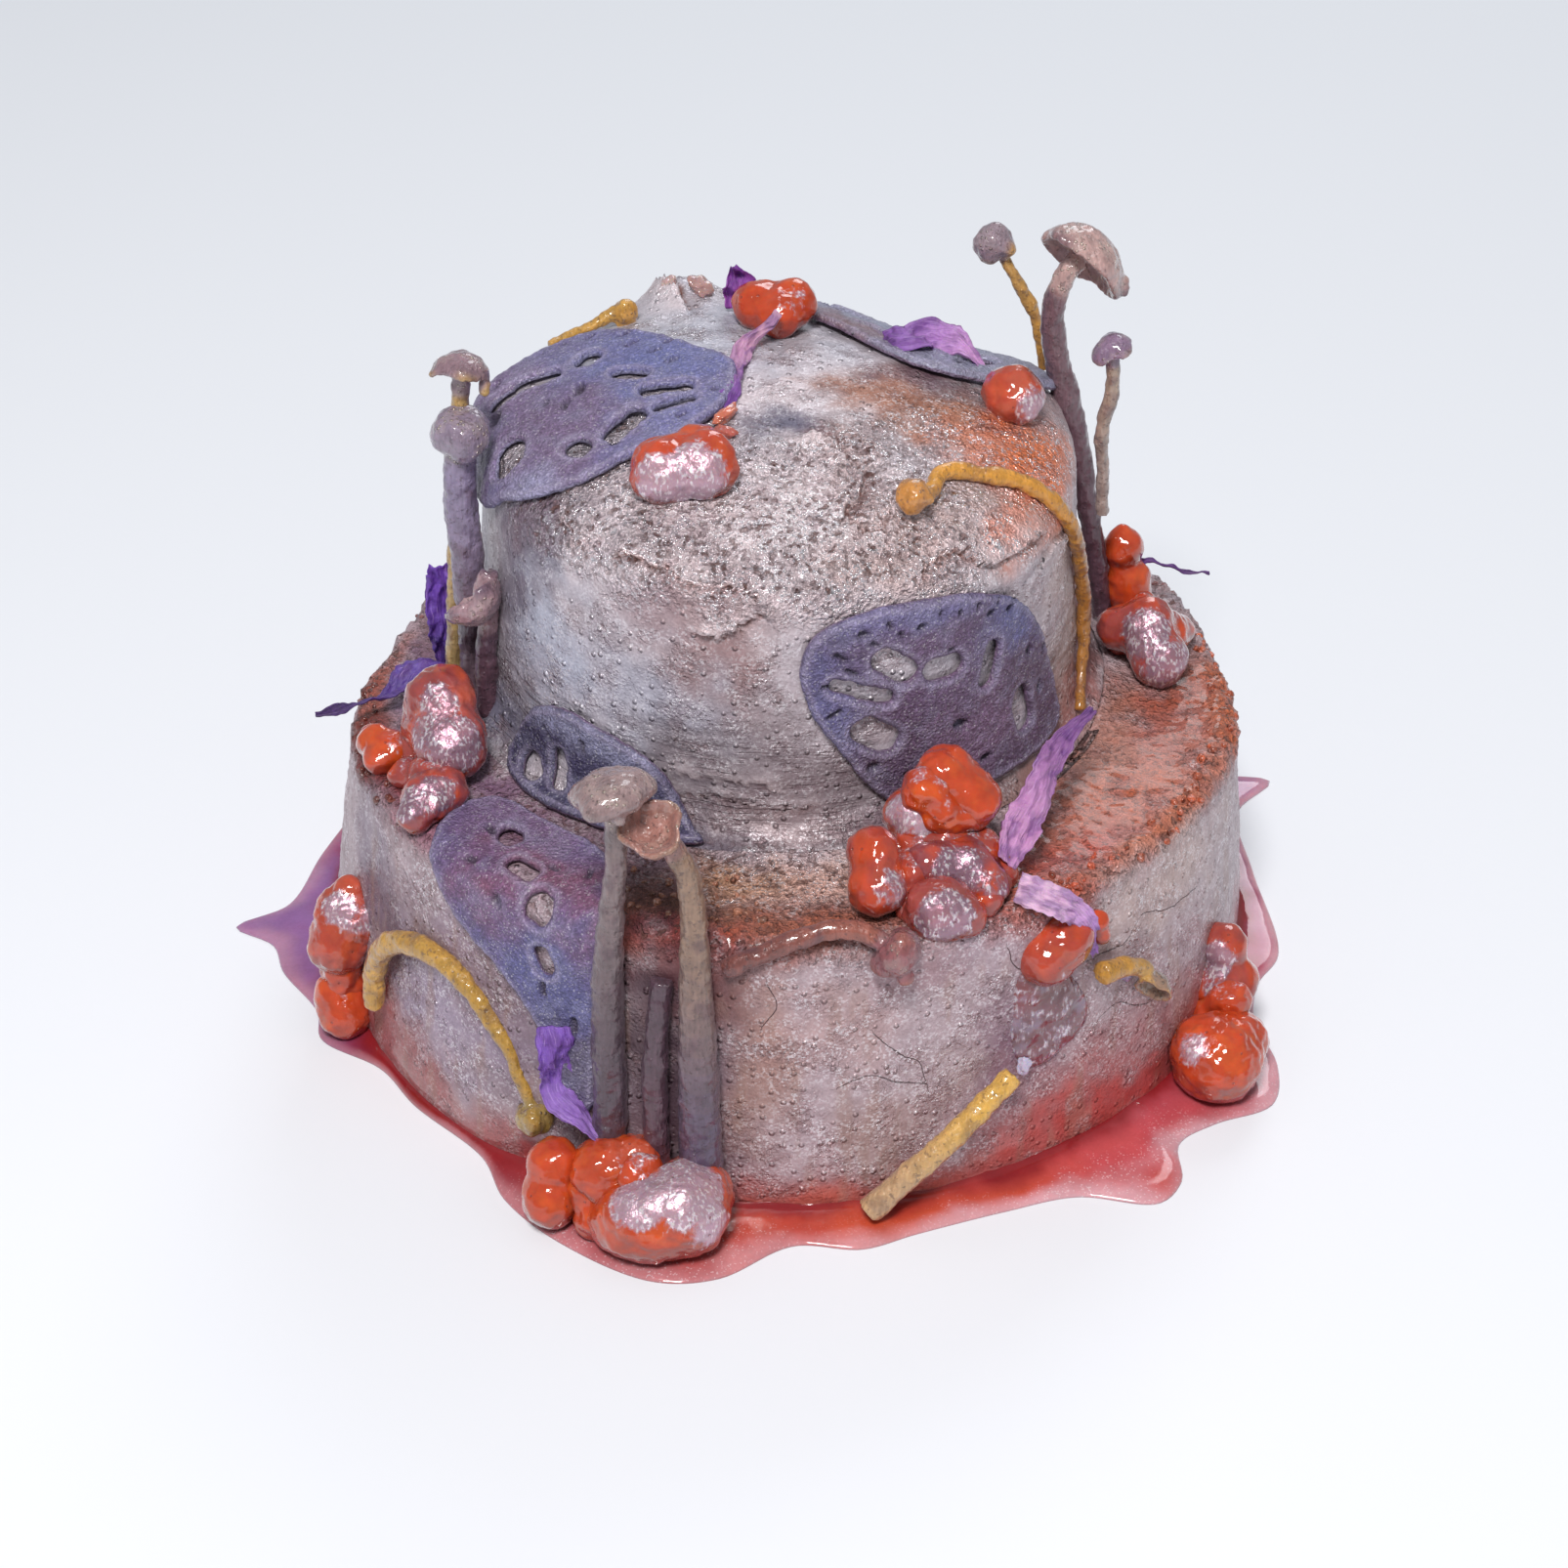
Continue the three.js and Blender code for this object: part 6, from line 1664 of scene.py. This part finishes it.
# Colours of the syrup: azimuth, half width, colour, strength
SYRUP_TINTS = [
    (-28, 20, (0.5, 0.1, 0.14), 0.9), (-50, 16, (0.55, 0.08, 0.09), 0.95),
    (-78, 18, (0.6, 0.085, 0.03), 0.95), (-104, 16, (0.46, 0.06, 0.05), 0.9),
    (-124, 14, (0.3, 0.03, 0.04), 0.9), (-150, 14, (0.2, 0.03, 0.07), 0.8),
    (-176, 14, (0.25, 0.14, 0.37), 0.95), (24, 20, (0.4, 0.2, 0.42), 0.95),
    (0, 12, (0.42, 0.12, 0.2), 0.8), (90, 70, (0.3, 0.08, 0.18), 0.9),
]


def syrup():
    edge = curve_through([mapped(*point) for point in SYRUP_EDGE], closed=True, spans=12)
    shares = np.append(np.linspace(0, 0.9, 19), [0.94, 0.97, 0.99, 1])
    bead = SYRUP_DEPTH * (0.42 + 0.58 * np.exp(-shares / 0.16)) * np.sqrt(1 - shares**6)
    section = [(1, 0)] + [(1 + share, height) for share, height in zip(shares, bead)]
    bm = spun(section, SYRUP_STEPS, closed=True)
    flat = coordinates(bm)
    azimuth, reach = unmapped(flat[:, :2])
    share = reach - 1
    turn, radius = unmapped(edge)
    order = np.argsort(turn)
    outer = np.interp(azimuth, turn[order], radius[order], period=360)
    inner = skin(azimuth, np.full(len(flat), FLOOR_RUN))
    inner_radius = np.hypot(inner[:, 0], inner[:, 1]) - SYRUP_OVERLAP
    distance = inner_radius + (outer - inner_radius) * share
    plane = mapped(azimuth, distance)
    ripple = 1 + 0.16 * fractal(in_space(plane), 9, 2, seed=3)
    points = np.column_stack([plane, flat[:, 2] * ripple])
    mesh = mesh_of(reshaped(bm, points), "syrup")
    colours = np.tile(BURGUNDY, (len(flat), 1))
    cloud = fractal(points, 9, 3, seed=2)
    for at, width, colour, strength in SYRUP_TINTS:
        reached = smoothstep(distance - inner_radius + 2.5 * cloud, 0.5, 6)
        colours = blended(colours, colour, strength * bump(azimuth - at + 8 * cloud, width) ** 0.7 * reached)
    edge_share = 0.4 + 0.5 * np.maximum(bump(azimuth + 50, 40), bump(azimuth - 5, 30))
    colours = blended(colours, PINK_EDGE, edge_share * smoothstep(share + 0.25 * cloud, 0.55, 1.05))
    dusted = np.maximum(bump(azimuth + 50, 26), bump(azimuth + 104, 18))
    dust = smoothstep(share + 0.5 * cloud, 0.3, 0.9) * dusted
    paint(mesh, colours, dust=dust)
    piece("syrup_ring", mesh, FINISHES["syrup"], "syrup", "syrup_puddle")


# --- Stage -----------------------------------------------------------------------------------------

CAMERA_PLACE = (0.0, -493.21, 379.33)
CAMERA_TURN = (54.5907, -0.466, 0.422)
LENS = 75
SENSOR = 36
FLOOR_SIZE = 6000
FLOOR_DROP = 0.05
FLOOR_COLOUR = (0.83, 0.85, 0.89, 1)
WORLD_COLOUR = (0.9, 0.95, 1.0, 1)
WORLD_STRENGTH = 0.33
# Lights: name, place and size in metres, power, colour
LIGHTS = [
    ("key", (-0.12, -0.75, 1.15), 0.3, 15.9, (1.0, 0.97, 0.96)),
    ("back", (0.3, 1.2, 1.0), 0.7, 5.0, (0.93, 0.96, 1.0)),
]
# Where the lights point, in metres
LIT_POINT = (0, 0, 0.06)


def stage():
    bm = bmesh.new()
    bmesh.ops.create_grid(bm, x_segments=2, y_segments=2, size=FLOOR_SIZE)
    bmesh.ops.translate(bm, vec=(0, 0, -FLOOR_DROP), verts=bm.verts)
    floor = bpy.data.objects.new("floor", mesh_of(bm, "floor"))
    bpy.context.scene.collection.objects.link(floor)
    finish = bpy.data.materials.new("pale floor")
    finish.use_nodes = True
    shader = finish.node_tree.nodes["Principled BSDF"]
    shader.inputs["Base Color"].default_value = FLOOR_COLOUR
    shader.inputs["Roughness"].default_value = 0.7
    shader.inputs["Specular IOR Level"].default_value = 0.2
    floor.data.materials.append(finish)


def light(name, place, size, power, colour):
    lamp = bpy.data.lights.new(name, "AREA")
    lamp.shape = "DISK"
    lamp.size = size
    lamp.energy = power
    lamp.color = colour
    made = bpy.data.objects.new(name, lamp)
    made.location = place
    made.rotation_euler = (Vector(LIT_POINT) - Vector(place)).to_track_quat("-Z", "Y").to_euler()
    bpy.context.scene.collection.objects.link(made)


def studio():
    for lamp in LIGHTS:
        light(*lamp)
    world = bpy.data.worlds.new("studio")
    world.use_nodes = True
    shade = world.node_tree.nodes["Background"]
    shade.inputs["Color"].default_value = WORLD_COLOUR
    shade.inputs["Strength"].default_value = WORLD_STRENGTH
    bpy.context.scene.world = world
    bpy.context.scene.view_settings.view_transform = "Standard"


def camera():
    data = bpy.data.cameras.new("camera")
    data.lens = LENS
    data.sensor_width = SENSOR
    data.sensor_fit = "HORIZONTAL"
    data.clip_start = 0.01
    data.clip_end = 20
    made = bpy.data.objects.new("camera", data)
    made.location = Vector(CAMERA_PLACE) * MM
    made.rotation_euler = [math.radians(turn) for turn in CAMERA_TURN]
    bpy.context.scene.collection.objects.link(made)
    bpy.context.scene.camera = made


# --- Melted jelly, scraps and crumbs, which have no solids of their own ----------------------------

# Skin of melted jelly below the lump on the lower wall: azimuth, run
MELTED_SKIN = [
    (-62, 133), (-56, 136), (-53, 141), (-51.5, 148), (-55, 153), (-59, 155), (-62, 151), (-63, 142),
]
# Runs between which painted shadow under the jelly lump above makes the melted skin deep red
LUMP_SHADOW_RUNS = (130, 138, 138, 142)
MELTED_GRID = 0.45


def melted_skin():
    sheet = Sheet(MELTED_SKIN, False)
    bm, depth = cut_sheet(sheet, MELTED_SKIN, [], MELTED_GRID, seed=4)
    found = coordinates(bm)
    flat = found[:, :2]
    level = found[:, 2]
    inside = np.maximum(depth(flat), 0)
    solid = in_space(flat)
    height = 1.3 * (1 - np.exp(-inside / 1.2)) + 0.35 * fractal(solid, 2.4, 3, seed=2)
    points = skin(*sheet.polar(flat), -0.3 + level * np.maximum(height, 0.2))
    mesh = mesh_of(reshaped(bm, points), "melted skin")
    colours = np.tile((0.2, 0.07, 0.09), (len(flat), 1))
    # Painted shadow under the lump above, in deep red
    colours = blended(colours, JELLY_SHADE_RED, 0.7 * between(-flat[:, 1], *LUMP_SHADOW_RUNS))
    colours = blended(colours, (0.34, 0.27, 0.38), 0.5 * smoothstep(fractal(solid, 4, 3, seed=7), 0.1, 0.5))
    paint(mesh, colours, dust=np.full(len(flat), 0.35))
    piece("melted_skin", mesh, FINISHES["jelly"], "jelly")


# Melted jelly that joins the lumps of a group: name, how brown-mauve it is, drops (x, y, z, radius)
MELTS = [
    ("melt_front", 0.6, [
        (20, -68.5, 59.5, 4.4), (21.5, -63, 61.5, 4.4), (26, -63.5, 61, 4.6), (31, -63, 60.5, 4.2),
        (20.5, -73, 56.8, 3.2), (32.5, -70.5, 56.5, 3.2), (34.5, -64.5, 57.5, 3.4), (15, -66, 57.5, 3.2)]),
    ("melt_crown", 0.05, [(22.5, -60.5, 70.5, 4.4), (28, -60.5, 66.5, 4.2), (25, -61.5, 67.5, 4.4)]),
    ("melt_left", 0.7, [
        (-60.5, -40.5, 58.5, 4.2), (-64.5, -31, 58, 3.8), (-65.5, -37.5, 56.6, 3), (-58, -37, 58, 3.8)]),
    ("melt_right", 0.3, [(63, 9, 59, 4), (64, 12.5, 60.5, 3.2), (60, 5, 58.5, 3.4)]),
    ("melt_foot_front", 0.1, [
        (-32.5, -88, 8, 4.6), (-31.5, -91, 4, 3.8), (-24, -90, 12.5, 4.2), (-27, -93, 6, 4.4)]),
    ("melt_foot_right", 0.2, [(78.5, -43, 13.5, 4.2), (76, -42.5, 9.5, 4)]),
    ("melt_foot_left", 0.1, [(-79.5, -36.5, 13.5, 4), (-79.3, -36.8, 10.5, 3.8)]),
]
MELT_ROUNDS = 30


def melt(name, berry, drops):
    bm = bmesh.new()
    for *spot, radius in drops:
        bmesh.ops.create_icosphere(bm, subdivisions=3, radius=radius, matrix=Matrix.Translation(spot))
    mesh = fused(bm, name, rounds=MELT_ROUNDS)
    points = points_of(mesh)
    seed = drops[0][0]
    points = points + normals_of(mesh) * 0.6 * fractal(points, 3.4, 2, seed=seed)[:, None]
    points[:, 2] = np.maximum(points[:, 2], FLOOR_CLEARANCE)
    move_points(mesh, points)
    normals = normals_of(mesh)
    share = np.ones(len(points))
    dust = 0.4 * smoothstep(normals[:, 2], 0.2, 0.9)
    paint(mesh, jelly_tints(points, normals, seed, berry, 0.1), dust=dust, berry=berry * share)
    piece(name, mesh, FINISHES["jelly"], "jelly")


# Scraps of jelly: name, azimuth, run, lift, radii round, down and up, colour
SCRAPS = [
    ("torn_scrap", -123, 16.5, 1.2, 1.0, 3.4, 1.1, (0.7, 0.2, 0.12)),
    ("torn_scrap_low", -116, 20.5, 0.8, 1.9, 1.2, 0.9, (0.5, 0.13, 0.1)),
    ("skyline_scrap", 112, 38, 1.4, 2.3, 1.6, 1.5, (0.5, 0.3, 0.28)),
    ("skyline_scrap_low", 119, 41, 0.9, 1.6, 1.2, 1.1, (0.56, 0.38, 0.36)),
    ("wall_scrap", -46, 143, 0.5, 1.6, 1.5, 0.8, (0.4, 0.32, 0.5)),
    ("stem_scrap", -61, 153, 0.6, 1.3, 1.8, 0.9, (0.56, 0.5, 0.66)),
]


def scrap(name, azimuth, run, lift, wide, long, high, colour):
    bm = bmesh.new()
    bmesh.ops.create_icosphere(bm, subdivisions=4, radius=1)
    ways = coordinates(bm)
    shape = ways * (1 + 0.35 * fractal(ways * 2, 1.6, 3, seed=azimuth))[:, None]
    turn = azimuth + shape[:, 0] * wide / math.radians(profile_at(run)[0])
    points = skin(turn, run + shape[:, 1] * long, lift + shape[:, 2] * high)
    mesh = mesh_of(reshaped(bm, points), name)
    paint(mesh, np.tile(colour, (len(points), 1)), dust=0.3 * smoothstep(ways[:, 2], 0, 1))
    piece(name, mesh, FINISHES["jelly"], "jelly")


# Crumbs that broke off the ledge's rim: azimuths, runs, number, colour
CRUMB_BEDS = [
    ((-44, 12), (118.5, 123.5), 60, (0.4, 0.08, 0.03)),
    ((-178, -142), (118, 123.5), 50, (0.12, 0.02, 0.012)),
    ((-112, -92), (106, 119), 40, (0.3, 0.12, 0.07)),
    ((-60, -44), (117, 123), 30, (0.4, 0.07, 0.03)),
    ((20, 170), (117, 123), 70, (0.24, 0.1, 0.1)),
]


def crumbs():
    draw = np.random.default_rng(7)
    bm = bmesh.new()
    tints = []
    for azimuths, runs, number, colour in CRUMB_BEDS:
        for _ in range(number):
            azimuth = draw.uniform(*azimuths)
            run = draw.uniform(*runs)
            radius = draw.uniform(0.25, 0.8)
            place = Matrix.Translation(Vector(skin(azimuth, run, 0.3 * radius)))
            turn = Matrix.Rotation(draw.uniform(0, 6), 4, Vector(draw.normal(size=3)))
            shape = Matrix.Diagonal((*draw.uniform(0.7, 1.3, 3), 1))
            made = bmesh.ops.create_icosphere(bm, subdivisions=2, radius=radius, matrix=place @ turn @ shape)
            tints += [np.array(colour) * draw.uniform(0.6, 1.5)] * len(made["verts"])
    points = coordinates(bm)
    bm.normal_update()
    out = np.array([vert.normal for vert in bm.verts])
    points += out * 0.25 * fractal(points, 0.6, 2, seed=3)[:, None]
    mesh = mesh_of(reshaped(bm, points), "crumbs")
    share = np.ones(len(points))
    paint(mesh, np.array(tints), rough=0.3 * share, pearl=0.2 * share, wet=0.5 * share)
    piece("rim_crumbs", mesh, FINISHES["frosting"], "frosting")


camera()
studio()
stage()
upper_tier()
lower_tier()
for name, spec in LOTUS_SLICES.items():
    lotus_slice(name, **spec)
for name, spec in JELLY_LUMPS.items():
    jelly_lump(name, **spec)
for name, spec in MUSHROOMS.items():
    mushroom(name, **spec)
for name, spec in PETALS.items():
    petal(name, **spec)
syrup()
melted_skin()
crumbs()
for spec in SCRAPS:
    scrap(*spec)
for spec in MELTS:
    melt(*spec)
